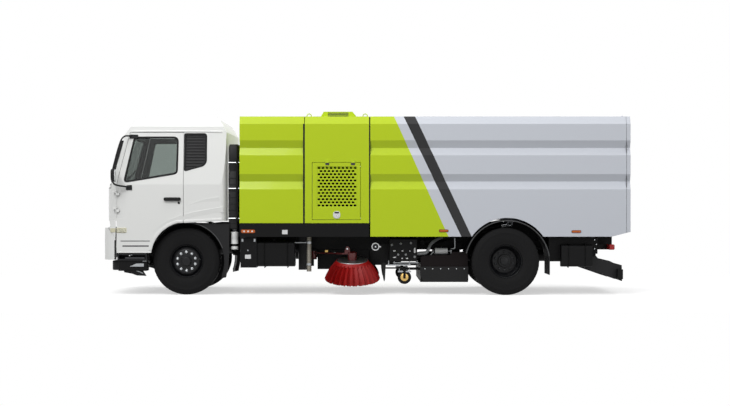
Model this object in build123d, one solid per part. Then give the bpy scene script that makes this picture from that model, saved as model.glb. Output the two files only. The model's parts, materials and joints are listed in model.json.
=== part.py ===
from build123d import *
import math
import os

# A two-axle street sweeper truck. Millimetres; X runs from the cab's nose (-X) to the tailgate (+X),
# the truck's left is -Y, and the wheels stand on Z = 0.

# ---- fits, gaps and plate thicknesses -------------------------------------------------------------
FIT = 0.3  # between a piece and the seat or pin that carries it
RUNNING_GAP = 6.0  # round a door, lid or flap
PLATE = 8.0  # folded steel plate

# ---- chassis frame --------------------------------------------------------------------------------
WHEELBASE = 5000.0
REAR_AXLE_X = 2175.0
FRONT_AXLE_X = REAR_AXLE_X - WHEELBASE
RAIL_FRONT_X = -3930.0
RAIL_REAR_X = 3960.0
RAIL_TOP = 930.0
RAIL_HEIGHT = 240.0
RAIL_FLANGE = 75.0
RAIL_WEB = 10.0
RAIL_OUTER_Y = 430.0
RAIL_BOTTOM = RAIL_TOP - RAIL_HEIGHT

# ---- couplings to the outside ---------------------------------------------------------------------
TOW_PIN_X = -4045.0
TOW_PIN_R = 20.0
HYDRANT_X = 141.0
HYDRANT_Z = 756.0
HYDRANT_FACE_Y = 1150.0
HYDRANT_R = 40.0
HYDRANT_DEPTH = 60.0

# ---- wheels ---------------------------------------------------------------------------------------
TYRE_R = 527.0
TYRE_WIDTH = 275.0
TYRE_TREAD_WIDTH = 216.0
TYRE_BEAD_WIDTH = 200.0
TYRE_BULGE_R = 400.0
RIM_R = 254.0
RIM_WALL = 16.0
RIM_HALF_WIDTH = 110.0
FRONT_TRACK = 1920.0
REAR_TRACK = 1860.0
TWIN_SPACING = 312.0
HUB_R = 80.0
REAR_HUB_DEPTH = 60.0
FRONT_HUB_DEPTH = -30.0
BOLT_FACE_R = 188.0
SPINDLE_R = 45.0

# ---- steering -------------------------------------------------------------------------------------
KINGPIN_Y = 850.0
KINGPIN_R = 22.0
BEAM_DROP = 70.0
BEAM_HEIGHT = 100.0
BEAM_WIDTH = 110.0

# ---- cab ------------------------------------------------------------------------------------------
CAB_HALF_WIDTH = 1200.0
CAB_SIDE_LEAN = 105.0  # how far each side leans in between waist and shoulder
CAB_ROOF_HALF_WIDTH = CAB_HALF_WIDTH - CAB_SIDE_LEAN
CAB_SIDE_DEPTH = 200.0  # a cut this deep takes in the whole leaning side
CAB_WAIST_Z = 1730.0
CAB_NOSE_X = -4076.0
CAB_REAR_X = -2190.0
CAB_BOTTOM_Z = 1161.0
CAB_ROOF_Z = 2798.0
CAB_SHOULDER_Z = 2640.0
CAB_WALL = 45.0
CAB_CORNER_R = 330.0
GLASS_DEPTH = 14.0
GLASS_THICK = 6.0
WELL_Y = 900.0
WELL_BOTTOM_Z = 659.0
WELL_ARCH_R = 625.0
DOOR_FRONT_X = -3909.0
DOOR_REAR_X = -2857.0
DOOR_TOP_Z = 2548.0
DOOR_THICK = 40.0
TUNNEL_FRONT_X = -3540.0
CAB_PIVOT_X = -3960.0
CAB_PIVOT_Z = 980.0
CAB_PIVOT_R = 18.0
CAB_EAR_Y = 300.0
CAB_EAR_THICK = 40.0
DOOR_HINGE_R = 9.0
DOOR_HINGE_LENGTH = 40.0
DOOR_HINGES = (1300.0, 1560.0)  # z where each of the door's own hinge barrels starts
BUMPER_FRONT_X = -4115.0
BUMPER_BOTTOM_Z = 555.0
BUMPER_TOP_Z = 1052.0
BUMPER_WALL = 40.0
HEADLAMP_Y = (690.0, 990.0)
HEADLAMP_Z = (800.0, 950.0)
HEADLAMP_DEPTH = 110.0

# ---- superstructure -------------------------------------------------------------------------------
BODY_HALF_WIDTH = 1250.0
BODY_TOP_Z = 2792.0
BODY_BEVEL = 120.0
TANK_FRONT_X = -1979.0
TANK_REAR_X = -970.0
HOUSING_REAR_X = 40.0
BODY_FLOOR_Z = 1126.0
BODY_JOINT_GAP = 10.0
BODY_WALL = 50.0
GROOVE_DEPTH = 48.0
SILL_INSET = 5.0
SILL_THICK = 16.0
SILL_BOTTOM_Z = 912.0

# ---- engine flaps ---------------------------------------------------------------------------------
FLAP_X = (-849.0, -91.0)
FLAP_Z = (BODY_FLOOR_Z + BODY_WALL, 2075.0)
FLAP_THICK = 30.0
GRILLE_X = (-771.0, -147.0)
GRILLE_Z = (1377.0, 2010.0)
GRILLE_ROWS = 13
GRILLE_COLUMNS = 3
COWL_HEIGHT = 116.0
COWL_HALF_WIDTH = 520.0
FLAP_HINGE_R = 8.0
FLAP_HINGE_LENGTH = 60.0
FLAP_HINGES = (-700.0, -300.0)  # x where each of the flap's own hinge barrels starts

# ---- hopper ---------------------------------------------------------------------------------------
HOPPER_FRONT_X = 60.0
HOPPER_REAR_X = 4115.0
HOPPER_SKIRT_Z = 915.0
HOPPER_FLOOR_Z = 1230.0
TAILGATE_THICK = 60.0
TAIL_CHAMFER_X = 3820.0
TAIL_CHAMFER_Z = 990.0
ARCH_CENTRE_X = 2200.0
ARCH_CENTRE_Z = 527.0
ARCH_R = 680.0
STAY_ANGLE = 30.0
TIP_PIN_X = 3800.0
TIP_PIN_Z = 960.0
TIP_PIN_R = 25.0
TAILGATE_HINGE_Z = BODY_TOP_Z + 16.0
TAILGATE_HINGE_R = 14.0
TAILGATE_HINGE_LENGTH = 100.0
HOPPER_HINGES = (-860.0, -60.0, 740.0)

# ---- tip cylinders --------------------------------------------------------------------------------
CYLINDER_Y = 545.0
CYLINDER_BASE_X = 900.0
CYLINDER_BASE_Z = 810.0
CYLINDER_EYE_X = 2300.0
CYLINDER_EYE_Z = 1110.0
BARREL_R = 60.0
ROD_R = 32.0

# ---- brushes --------------------------------------------------------------------------------------
BRUSH_X = -225.0
BRUSH_Y = 880.0
BRUSH_Z = 545.0
BRUSH_DISC_R = 250.0
BRUSH_TIP_R = 440.0
BRUSH_HEIGHT = 330.0
BRUSH_TUFTS = 28
BRUSH_TILT_OUT = 12.0
ARM_PIVOT_X = -850.0
ARM_PIVOT_Y = 470.0
ARM_Z = 608.0
ARM_PIN_R = 22.0
MOTOR_HEIGHT = 120.0

# ---- suction nozzle -------------------------------------------------------------------------------
NOZZLE_FRONT_X = 850.0
NOZZLE_REAR_X = 1600.0
NOZZLE_HALF_WIDTH = 1000.0
NOZZLE_BOTTOM_Z = 195.0
NOZZLE_TOP_Z = 430.0
NOZZLE_WALL = 10.0
DUCT_X = 1225.0
DUCT_R = 125.0
DUCT_Y = 208.0
DUCT_OVERLAP = 230.0
DUCT_CLEARANCE = 6.0
DUCT_WALL = 8.0
DUCT_GUIDE = 30.0  # height of the ring that the neck slides in
DUCT_LOW_Z = 590.0
CASTER_R = 108.0
CASTER_X = 601.0
CASTER_Z = 265.0
CASTER_WIDTH = 60.0
CASTER_Y = 860.0
CASTER_AXLE_R = 12.0

# side name, sign of its Y
SIDES = (("left", -1), ("right", 1))


# ---- helpers --------------------------------------------------------------------------------------
def outline(points, radius=0.0):
    """A closed flat outline, with one radius or a list of radii at its corners."""
    if radius:
        return make_face(FilletPolyline(*points, radius=radius, close=True))
    return make_face(Polyline(*points, close=True))


def along_y(face, low, high):
    """An X-Z outline given depth from Y = low to Y = high."""
    stand = Plane(origin=(0, high, 0), x_dir=(1, 0, 0), z_dir=(0, -1, 0))
    return extrude(stand * face, amount=high - low)


def along_x(face, low, high):
    """A Y-Z outline given depth from X = low to X = high."""
    stand = Plane(origin=(low, 0, 0), x_dir=(0, 1, 0), z_dir=(1, 0, 0))
    return extrude(stand * face, amount=high - low)


def along_z(face, low, high):
    """An X-Y outline given depth from Z = low to Z = high."""
    return extrude(Plane.XY.offset(low) * face, amount=high - low)


def block(x, y, z):
    """A block from three pairs of low and high."""
    size = [high - low for low, high in (x, y, z)]
    middle = [(high + low) / 2 for low, high in (x, y, z)]
    return Pos(*middle) * Box(*size)


def bar(start, end, radius):
    """A round bar from one point to another."""
    start = Vector(*start)
    run = Vector(*end) - start
    return extrude(Plane(origin=start, z_dir=run) * Circle(radius), amount=run.length)


def bar_y(x, z, radius, low, high):
    """A round bar along Y."""
    return bar((x, low, z), (x, high, z), radius)


def ring_y(profile, x, y, z):
    """A turned piece about an axle along Y; the profile holds (radius, outward distance) pairs for the
    truck's left side, where outward is -Y."""
    face = outline([(r, -out) for r, out in profile])
    return Pos(x, y, z) * revolve(face, Axis.Y)


def mirrored(shape):
    """The same piece for the other side of the truck."""
    return mirror(shape, about=Plane.XZ)


def on_side(shape, sign):
    """A piece modelled for the left side, put on the side asked for."""
    return shape if sign < 0 else mirrored(shape)


def pair(shape):
    """A left piece and its mirror image as one node."""
    return shape + mirrored(shape)


# ---- chassis frame --------------------------------------------------------------------------------
def frame_rails():
    """Two pressed channel rails with their flanges turned inwards."""
    outer = RAIL_OUTER_Y
    web = outer - RAIL_WEB
    lip = outer - RAIL_FLANGE
    section = outline([
        (-outer, RAIL_BOTTOM), (-lip, RAIL_BOTTOM),
        (-lip, RAIL_BOTTOM + RAIL_WEB), (-web, RAIL_BOTTOM + RAIL_WEB),
        (-web, RAIL_TOP - RAIL_WEB), (-lip, RAIL_TOP - RAIL_WEB), (-lip, RAIL_TOP), (-outer, RAIL_TOP),
    ])
    return pair(along_x(section, RAIL_FRONT_X, RAIL_REAR_X))


def cross_members():
    """Channels across the frame, butted on the insides of the rails."""
    places = (-3755.0, -1650.0, -300.0, 1700.0, 2700.0, 3900.0)
    reach = RAIL_OUTER_Y - RAIL_WEB
    members = []
    for x in places:
        top = RAIL_TOP - RAIL_WEB
        low = top - 140
        section = outline([
            (x - 40, low), (x + 40, low), (x + 40, low + PLATE), (x - 40 + PLATE, low + PLATE),
            (x - 40 + PLATE, top - PLATE), (x + 40, top - PLATE), (x + 40, top), (x - 40, top),
        ])
        members.append(along_y(section, -reach, reach))
    return Compound(members)


def front_axle():
    """A dropped I-beam with an eye for the kingpin at each end."""
    eye_z = TYRE_R
    low = eye_z - BEAM_DROP - BEAM_HEIGHT
    beam = outline([
        (-KINGPIN_Y + 60, eye_z - 45), (-620, low), (620, low), (KINGPIN_Y - 60, eye_z - 45),
        (KINGPIN_Y - 30, eye_z + 45), (600, low + BEAM_HEIGHT),
        (-600, low + BEAM_HEIGHT), (-KINGPIN_Y + 30, eye_z + 45),
    ])
    x = FRONT_AXLE_X
    body = along_x(beam, x - BEAM_WIDTH / 2, x + BEAM_WIDTH / 2)
    waist = (BEAM_WIDTH - 24) / 2
    body -= pair(block((x + 12, x + 12 + waist), (-560, -40), (low + 18, low + BEAM_HEIGHT - 18)))
    body -= pair(block((x - 12 - waist, x - 12), (-560, -40), (low + 18, low + BEAM_HEIGHT - 18)))
    for _, sign in SIDES:
        y = sign * KINGPIN_Y
        body += bar((x, y, eye_z - 60), (x, y, eye_z + 60), 50)
        body -= bar((x, y, eye_z - 70), (x, y, eye_z + 70), KINGPIN_R + FIT)
    return body


def leaf_spring(x, y, seat_z, eye_z, half_length, leaves, width):
    """A stack of flat leaves, each shorter than the one above, with rolled eyes on the longest."""
    thick = 14.0
    stack = None
    for n in range(leaves):
        reach = half_length * (1 - n / (leaves + 1))
        top = seat_z + (leaves - n) * thick
        rise = (eye_z - (seat_z + leaves * thick)) * reach / half_length
        leaf = outline([
            (x - reach, top + rise), (x, top), (x + reach, top + rise),
            (x + reach, top + rise - thick), (x, top - thick), (x - reach, top + rise - thick),
        ])
        solid = along_y(leaf, y - width / 2, y + width / 2)
        stack = solid if stack is None else stack + solid
    for end in (-half_length, half_length):
        stack += bar_y(x + end, eye_z - thick / 2, 24, y - width / 2, y + width / 2)
    return stack


# x of the axle, y of the spring, top of its seat, z of its eyes, half length, leaves, width
FRONT_SPRING = dict(x=FRONT_AXLE_X, y=-392.0, seat_z=TYRE_R - BEAM_DROP, eye_z=640.0, half_length=720.0,
                    leaves=5, width=72.0)
REAR_SPRING = dict(x=REAR_AXLE_X, y=-515.0, seat_z=TYRE_R + 75.0, eye_z=730.0, half_length=700.0,
                   leaves=7, width=80.0)


def spring_hangers(spring, inner_y, outer_y, top_z):
    """The brackets that hold a spring's eyes to the rail, as cheeks either side of each eye."""
    hangers = None
    for end in (-1, 1):
        x = spring["x"] + end * spring["half_length"]
        z = spring["eye_z"] - 7.0
        cheek = outline([(x - 45, z - 35), (x + 45, z - 35), (x + 70, top_z), (x - 70, top_z)])
        shape = along_y(cheek, inner_y, outer_y)
        gap = spring["width"] / 2 + FIT
        shape -= block((x - 80, x + 80), (spring["y"] - gap, spring["y"] + gap), (z - 60, z + 40))
        shape += bar_y(x, z, 12, inner_y, outer_y) - bar_y(x, z, 13, spring["y"] - gap, spring["y"] + gap)
        hangers = shape if hangers is None else hangers + shape
    return hangers


def springs(spring, inner_y, outer_y, top_z):
    """Both springs of an axle with their hangers."""
    shape = leaf_spring(**spring) + spring_hangers(spring, inner_y, outer_y, top_z)
    return pair(shape)


def rear_axle():
    """A banjo housing with tubes out to the hubs."""
    x, z = REAR_AXLE_X, TYRE_R
    hub_back = REAR_TRACK / 2 - REAR_HUB_DEPTH - FIT
    tube = bar_y(x, z, 75, -hub_back, hub_back)
    banjo = bar((x - 70, 0, z), (x + 110, 0, z), 215)
    nose = extrude(Plane(origin=(x - 70, 0, z), z_dir=(-1, 0, 0)) * Circle(150), amount=170, taper=20)
    spring_pads = pair(block((x - 70, x + 70), (-560, -470), (z, z + 75)))
    return tube + banjo + nose + spring_pads


def engine():
    """The truck's engine as one plain block with its sump, between the rails under the cab."""
    block_part = block((-3450, -2500), (-330, 330), (720, 1110))
    sump = block((-3350, -3000), (-240, 240), (600, 720))
    return block_part + sump


def gearbox_and_shaft():
    """Gearbox, propeller shaft and its centre flange, running back to the rear axle."""
    nose_x = REAR_AXLE_X - 240
    box = extrude(Plane(origin=(-2500, 0, 800), z_dir=(1, 0, 0)) * Circle(220), amount=650, taper=8)
    shaft = bar((-1850, 0, 715), (nose_x - 16, 0, TYRE_R), 45)
    flange = bar((nose_x - 24, 0, TYRE_R), (nose_x, 0, TYRE_R), 80)
    return box + shaft + flange


def radiator():
    """The cooling pack in front of the engine."""
    core = block((-3640, -3500), (-345, 345), (RAIL_BOTTOM + 20, 1100))
    return core + block((-3500, -3450), (-200, 200), (760, 1060))


# ---- front end ------------------------------------------------------------------------------------
def front_bumper():
    """A wrapped bumper, open at the back, with an air slot, lamp openings and cut-away rear corners."""
    rear_x, wide, wall = DOOR_FRONT_X, CAB_HALF_WIDTH, BUMPER_WALL
    plan = [(rear_x, -wide), (BUMPER_FRONT_X, -wide), (BUMPER_FRONT_X, wide), (rear_x, wide)]
    inner = [(rear_x + 10, -wide + wall), (BUMPER_FRONT_X + wall, -wide + wall),
             (BUMPER_FRONT_X + wall, wide - wall), (rear_x + 10, wide - wall)]
    shell = along_z(outline(plan, [0, 190, 190, 0]), BUMPER_BOTTOM_Z, BUMPER_TOP_Z)
    shell -= along_z(outline(inner, [0, 150, 150, 0]), BUMPER_BOTTOM_Z - 10, BUMPER_TOP_Z + 10)
    slot = outline([(-520, 640), (520, 640), (560, 780), (-560, 780)], 30)
    shell -= along_x(slot, BUMPER_FRONT_X - 10, BUMPER_FRONT_X + 2 * wall)
    shell -= pair(along_x(lamp_face(0), BUMPER_FRONT_X - 10, BUMPER_FRONT_X + 2 * wall))
    corner = outline([(rear_x - 136, BUMPER_TOP_Z + 10), (rear_x - 106, 1012), (rear_x - 26, 955),
                      (rear_x, 811), (rear_x + 20, 811), (rear_x + 20, BUMPER_TOP_Z + 10)])
    return shell - along_y(corner, -wide - 10, wide + 10)


def lamp_face(inset):
    """The left headlamp's outline in front view, shrunk by inset."""
    (near, far), (low, high) = HEADLAMP_Y, HEADLAMP_Z
    face = outline([(-far, low + 20), (-near, low), (-near, high), (-far, high - 10)], 35)
    return offset(face, -inset) if inset else face


def headlamps():
    """The headlamps, each filling its opening in the bumper."""
    return pair(along_x(lamp_face(FIT), BUMPER_FRONT_X + 6, BUMPER_FRONT_X + HEADLAMP_DEPTH))


def bumper_brackets():
    """Plates from the rails to the bumper with the cab's tilt pins, and a beam with the tow pin's bore."""
    front_x = BUMPER_FRONT_X + BUMPER_WALL + FIT
    inner_y = RAIL_OUTER_Y - RAIL_FLANGE
    plate = block((front_x, RAIL_FRONT_X), (-RAIL_OUTER_Y, -inner_y), (RAIL_BOTTOM + 10, CAB_PIVOT_Z + 40))
    beam = block((front_x, RAIL_FRONT_X - 80), (-inner_y, inner_y), (RAIL_BOTTOM, RAIL_BOTTOM + 70))
    tilt_pin = bar_y(CAB_PIVOT_X, CAB_PIVOT_Z, CAB_PIVOT_R, -inner_y, -CAB_EAR_Y)
    shape = pair(plate + tilt_pin) + beam
    return shape - bar((TOW_PIN_X, 0, RAIL_BOTTOM - 10), (TOW_PIN_X, 0, RAIL_BOTTOM + 80), TOW_PIN_R)


def front_spray_bar():
    """The washing bar under the bumper on its two hangers, with a row of jets."""
    z = 470
    shape = bar_y(-3700, z, 28, -1050, 1050)
    shape += block((-4000, -3960), (-1040, 1040), (400, 520))
    for y in (-RAIL_OUTER_Y + 40, RAIL_OUTER_Y - 40):
        shape += block((-3990, -3700), (y - 20, y + 20), (z - 14, z + 14))
        shape += block((-3900, -3840), (y - 20, y + 20), (z, RAIL_BOTTOM))
    for n in range(9):
        y = -1000 + n * 250
        shape += bar((-3700, y, z), (-3700, y, z - 60), 12)
    return shape


def cab_steps():
    """A step box under each door, on an arm from the rail."""
    outer, inner = CAB_HALF_WIDTH - 10, WELL_Y
    side = block((-3893, -3430), (-outer, -inner), (540, 650))
    side -= block((-3870, -3453), (-outer - 10, -inner - 25), (565, 627))
    arm = block((-3720, -3640), (-inner, -RAIL_OUTER_Y), (590, 640))
    foot = block((-3720, -3640), (-RAIL_OUTER_Y - 12, -RAIL_OUTER_Y), (590, 800))
    return pair(side + arm + foot)


def front_mudguards():
    """A curved guard over each front wheel with a flap hanging behind it."""
    x, z = FRONT_AXLE_X, TYRE_R
    outer, inner = 612.0, 600.0
    sector = [(0, 0)]
    for angle in (-20, 20, 60, 100, 140, 150):
        a = math.radians(angle)
        sector.append((900 * math.cos(a), 900 * math.sin(a)))
    ring = (Circle(outer) - Circle(inner)) & outline(sector)
    guard = along_y(Pos(x, z) * ring, -1150, -720)
    end = math.radians(-20)
    flap_x = x + inner * math.cos(end)
    flap = block((flap_x, flap_x + 12), (-1150, -760), (273, z + inner * math.sin(end)))
    stay = block((x + 560, x + 640), (-760, -RAIL_OUTER_Y), (700, 740))
    return pair(guard + flap + stay)


# ---- steered and driven wheels --------------------------------------------------------------------
def knuckle():
    """Left steering knuckle: yoke, kingpin, brake backing plate and spindle."""
    x, z = FRONT_AXLE_X, TYRE_R
    hub_back = FRONT_TRACK / 2 - FRONT_HUB_DEPTH
    yoke_y = -KINGPIN_Y - 62
    yoke = block((x - 45, x + 45), (yoke_y - 22, yoke_y), (z - 110, z + 110))
    for low in (z - 110, z + 65):
        yoke += block((x - 45, x + 45), (yoke_y, -KINGPIN_Y + 40), (low, low + 45))
    pin = bar((x, -KINGPIN_Y, z - 100), (x, -KINGPIN_Y, z + 100), KINGPIN_R)
    plate = bar_y(x, z, 190, yoke_y - 34, yoke_y - 22)
    spindle = bar_y(x, z, SPINDLE_R, -hub_back + FIT, yoke_y - 34)
    arm = block((x + 40, x + 240), (-KINGPIN_Y + 10, -KINGPIN_Y + 40), (z - 110, z - 80))
    return yoke + pin + plate + spindle + arm


def tyre(x, y):
    """One tyre: bead, bulging side wall and flat tread."""
    half = TYRE_WIDTH / 2
    tread = TYRE_TREAD_WIDTH / 2
    bead = TYRE_BEAD_WIDTH / 2
    inner = RIM_R + FIT
    profile = [(inner, -bead), (TYRE_BULGE_R, -half), (TYRE_R, -tread), (TYRE_R, tread), (TYRE_BULGE_R, half),
               (inner, bead)]
    return ring_y(profile, x, y, TYRE_R)


def front_rim():
    """A front disc wheel whose bolting face stands out past the rim, with its hub cap."""
    well = RIM_R - RIM_WALL
    half = RIM_HALF_WIDTH
    profile = [(RIM_R, -half), (RIM_R, half), (well, half), (well, 62), (BOLT_FACE_R, 118), (HUB_R, 118),
               (HUB_R, 168), (0, 168), (0, -FRONT_HUB_DEPTH), (well, -FRONT_HUB_DEPTH), (well, -half)]
    return ring_y(profile, FRONT_AXLE_X, -FRONT_TRACK / 2, TYRE_R)


def rear_rims():
    """Twin disc wheels bolted back to back, the outer one deeply dished, with the hub and its cap."""
    well = RIM_R - RIM_WALL
    half = RIM_HALF_WIDTH
    near = TWIN_SPACING / 2 - half
    far = TWIN_SPACING / 2 + half
    profile = [(RIM_R, near), (RIM_R, far), (well, far), (well, near + 30), (BOLT_FACE_R, 14),
               (HUB_R + 25, 14), (HUB_R + 25, 110), (0, 110), (0, -REAR_HUB_DEPTH),
               (HUB_R + 60, -REAR_HUB_DEPTH), (HUB_R + 60, -14), (BOLT_FACE_R, -14), (well, -near - 30),
               (well, -far), (RIM_R, -far), (RIM_R, -near), (BOLT_FACE_R + 24, -2), (BOLT_FACE_R + 24, 2)]
    return ring_y(profile, REAR_AXLE_X, -REAR_TRACK / 2, TYRE_R)


def rear_tyres():
    """The pair of tyres of one rear hub."""
    inner = tyre(REAR_AXLE_X, -REAR_TRACK / 2 + TWIN_SPACING / 2)
    outer = tyre(REAR_AXLE_X, -REAR_TRACK / 2 - TWIN_SPACING / 2)
    return Compound([inner, outer])


# ---- cab ------------------------------------------------------------------------------------------
def cab_body(inset):
    """The cab's main form, shrunk by inset all round: side view, front view and plan crossed."""
    side = outline([
        (CAB_NOSE_X, CAB_BOTTOM_Z), (CAB_NOSE_X, 1660), (-4014, CAB_WAIST_Z), (-3795, 2502),
        (-3624, 2736), (-3450, CAB_ROOF_Z), (-2390, CAB_ROOF_Z), (-2299, 2736),
        (CAB_REAR_X, 2549), (CAB_REAR_X, CAB_BOTTOM_Z),
    ])
    wide, narrow = CAB_HALF_WIDTH, CAB_ROOF_HALF_WIDTH
    front = outline([
        (-wide, CAB_BOTTOM_Z), (-wide, CAB_WAIST_Z), (-narrow, CAB_SHOULDER_Z), (-narrow + 160, CAB_ROOF_Z),
        (narrow - 160, CAB_ROOF_Z), (narrow, CAB_SHOULDER_Z), (wide, CAB_WAIST_Z), (wide, CAB_BOTTOM_Z),
    ])
    plan = outline([(CAB_NOSE_X, -wide), (CAB_REAR_X, -wide), (CAB_REAR_X, wide), (CAB_NOSE_X, wide)],
                   [CAB_CORNER_R, 110, 110, CAB_CORNER_R])
    if inset:
        side, front, plan = (offset(face, -inset, kind=Kind.INTERSECTION) for face in (side, front, plan))
    body = along_y(side, -wide, wide)
    body &= along_x(front, CAB_NOSE_X, CAB_REAR_X)
    return body & along_z(plan, CAB_BOTTOM_Z, CAB_ROOF_Z)


def door_outline(gap):
    """The door's edge line in side view, shrunk by gap: slanted pillar in front, wheel arch behind."""
    upper = Polyline((-3354, WELL_BOTTOM_Z), (DOOR_FRONT_X, WELL_BOTTOM_Z), (DOOR_FRONT_X, CAB_WAIST_Z),
                     (-3705, DOOR_TOP_Z), (DOOR_REAR_X, DOOR_TOP_Z), (DOOR_REAR_X, 1126), (-2943, 1126))
    arch = ThreePointArc((-2943, 1126), (-3239, 941), (-3354, 695))
    close = Line((-3354, 695), (-3354, WELL_BOTTOM_Z))
    face = make_face(upper + arch + close)
    return offset(face, -gap, kind=Kind.INTERSECTION) if gap else face


def door_zone(gap, wall):
    """The space that the left door takes in the cab's side, wall deep, behind its edge line."""
    face = door_outline(gap)
    outside = -CAB_HALF_WIDTH - 20
    span = (CAB_NOSE_X, CAB_REAR_X)
    low = along_y(face, outside, -CAB_HALF_WIDTH + wall)
    low &= block(span, (outside, 0), (0, CAB_WAIST_Z))
    high = along_y(face, outside, -CAB_HALF_WIDTH + CAB_SIDE_DEPTH)
    high &= block(span, (outside, 0), (CAB_WAIST_Z, CAB_ROOF_Z))
    return low + high


def side_window(grow):
    """The opening of the door's window."""
    face = outline([(-3785, 1769), (-2962, 1905), (-2954, 2468), (-3630, 2468)], [40, 70, 70, 60])
    return offset(face, grow) if grow else face


def quarter_window(grow):
    """The opening of the window behind the door."""
    face = outline([(-2840, 1949), (-2511, 2038), (-2511, 2520), (-2840, 2520)], [15, 110, 40, 15])
    return offset(face, grow) if grow else face


def front_window(grow):
    """The opening of the windscreen in front view."""
    low, high = CAB_HALF_WIDTH - 110, CAB_ROOF_HALF_WIDTH - 85
    face = outline([(-low, 1770), (low, 1770), (high, 2480), (-high, 2480)], 90)
    return offset(face, grow) if grow else face


def rear_window(grow):
    """The opening of the window in the cab's back wall."""
    face = outline([(-700, 1850), (700, 1850), (700, 2350), (-700, 2350)], 60)
    return offset(face, grow) if grow else face


def step_well(inset):
    """The box beside the engine that the door's lower half closes, shaped to the wheel arch."""
    front_x = DOOR_FRONT_X + RUNNING_GAP
    face = make_face(
        Polyline((-3354, WELL_BOTTOM_Z), (front_x, WELL_BOTTOM_Z), (front_x, CAB_BOTTOM_Z + CAB_WALL),
                 (CAB_REAR_X - 64, CAB_BOTTOM_Z + CAB_WALL), (CAB_REAR_X - 64, CAB_BOTTOM_Z),
                 (-2943, 1126))
        + ThreePointArc((-2943, 1126), (-3239, 941), (-3354, 695))
        + Line((-3354, 695), (-3354, WELL_BOTTOM_Z))
    )
    well = along_y(face, -CAB_HALF_WIDTH, -WELL_Y)
    well -= bar_y(FRONT_AXLE_X, TYRE_R, WELL_ARCH_R + inset, -CAB_HALF_WIDTH + DOOR_THICK + inset, 0)
    return well


def well_hollow():
    """The foot space inside a step well, down to its tread."""
    space = block((DOOR_FRONT_X + CAB_WALL, -3300), (-CAB_HALF_WIDTH + DOOR_THICK, -WELL_Y - CAB_WALL),
                  (WELL_BOTTOM_Z + CAB_WALL, CAB_BOTTOM_Z + 2 * CAB_WALL))
    return space - bar_y(FRONT_AXLE_X, TYRE_R, WELL_ARCH_R + CAB_WALL, -CAB_HALF_WIDTH - 10, 0)


def cab_shell():
    """The tilting cab: a hollow shell with its floor, engine tunnel, step wells and window openings."""
    shell = cab_body(0) + pair(step_well(0))
    shell -= cab_body(CAB_WALL)
    shell -= pair(well_hollow())
    shell += block((TUNNEL_FRONT_X, CAB_REAR_X - 20), (-380, 380), (CAB_BOTTOM_Z, 1330))
    shell -= block((TUNNEL_FRONT_X + 40, CAB_REAR_X - 60), (-340, 340), (CAB_BOTTOM_Z - 10, 1290))
    shell += pair(tilt_ear())
    shell -= pair(door_zone(0, DOOR_THICK + 5))
    for low in DOOR_HINGES:
        shell += pair(door_hinge(low + DOOR_HINGE_LENGTH + FIT, -1, 75))
    shell -= pair(along_y(quarter_window(0), -CAB_HALF_WIDTH - 10, -CAB_HALF_WIDTH + CAB_SIDE_DEPTH))
    shell -= along_x(front_window(0), CAB_NOSE_X - 10, -3500)
    shell -= along_x(rear_window(0), CAB_REAR_X - 120, CAB_REAR_X + 10)
    return shell


def tilt_ear():
    """The left ear that hangs from the cab's floor onto its tilt pin."""
    low, high = -CAB_EAR_Y - CAB_EAR_THICK, -CAB_EAR_Y
    x, z, r = CAB_PIVOT_X, CAB_PIVOT_Z, 2 * CAB_PIVOT_R + 4
    face = outline([(x - r, z - 5), (x - 15, z - r), (x + 15, z - r), (x + r, z - 5), (x + 120, CAB_BOTTOM_Z),
                    (x + 10, CAB_BOTTOM_Z)])
    return along_y(face, low, high) - bar_y(x, z, CAB_PIVOT_R + FIT, low - 5, high + 5)


def glass_layer():
    """The thin layer of the cab's form that its panes lie in."""
    return cab_body(GLASS_DEPTH) - cab_body(GLASS_DEPTH + GLASS_THICK)


def cab_glass(layer):
    """Windscreen, rear window and both quarter windows."""
    panes = layer & along_x(front_window(-FIT), CAB_NOSE_X, -3500)
    panes += layer & along_x(rear_window(-FIT), CAB_REAR_X - 120, CAB_REAR_X)
    quarter = layer & along_y(quarter_window(-FIT), -CAB_HALF_WIDTH, -CAB_HALF_WIDTH + CAB_SIDE_DEPTH)
    return panes + pair(quarter)


def door(side_shell):
    """The left door: the cab's side panel within the door's edge line, with its window opening."""
    panel = side_shell & door_zone(RUNNING_GAP, DOOR_THICK)
    panel -= along_y(side_window(0), -CAB_HALF_WIDTH - 10, -CAB_HALF_WIDTH + CAB_SIDE_DEPTH)
    handle = block((-3158, -2907), (-CAB_HALF_WIDTH - 30, -CAB_HALF_WIDTH), (1480, 1522))
    for low in DOOR_HINGES:
        panel += door_hinge(low, 1, DOOR_THICK)
    return panel + handle


def door_hinge(low, toward, depth):
    """One half of a left door hinge from z = low up: a barrel on the hinge line and a lug let in by depth,
    back into the door (toward = 1) or forward into the cab's pillar (toward = -1)."""
    x, y, high = DOOR_FRONT_X, -CAB_HALF_WIDTH, low + DOOR_HINGE_LENGTH
    reach, step = sorted((x, x + toward * 50)), sorted((x + toward * 15, x + toward * 50))
    part = bar((x, y, low), (x, y, high), DOOR_HINGE_R)
    part += block(reach, (y - 4, y + 15), (low, high))
    return part + block(step, (y + 10, y + depth), (low, high))


def door_side_shell():
    """The left side's skin and step panel together, which the door is cut from."""
    skin = cab_body(0) + step_well(0)
    return skin - cab_body(DOOR_THICK)


def door_glass(layer):
    """The pane of the left door."""
    return layer & along_y(side_window(-FIT), -CAB_HALF_WIDTH, -CAB_HALF_WIDTH + CAB_SIDE_DEPTH)


def side_half_width(z):
    """Half the cab's width at a height above its waist."""
    lean = (CAB_HALF_WIDTH - CAB_ROOF_HALF_WIDTH) / (CAB_SHOULDER_Z - CAB_WAIST_Z)
    return CAB_HALF_WIDTH - (z - CAB_WAIST_Z) * lean


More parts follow.
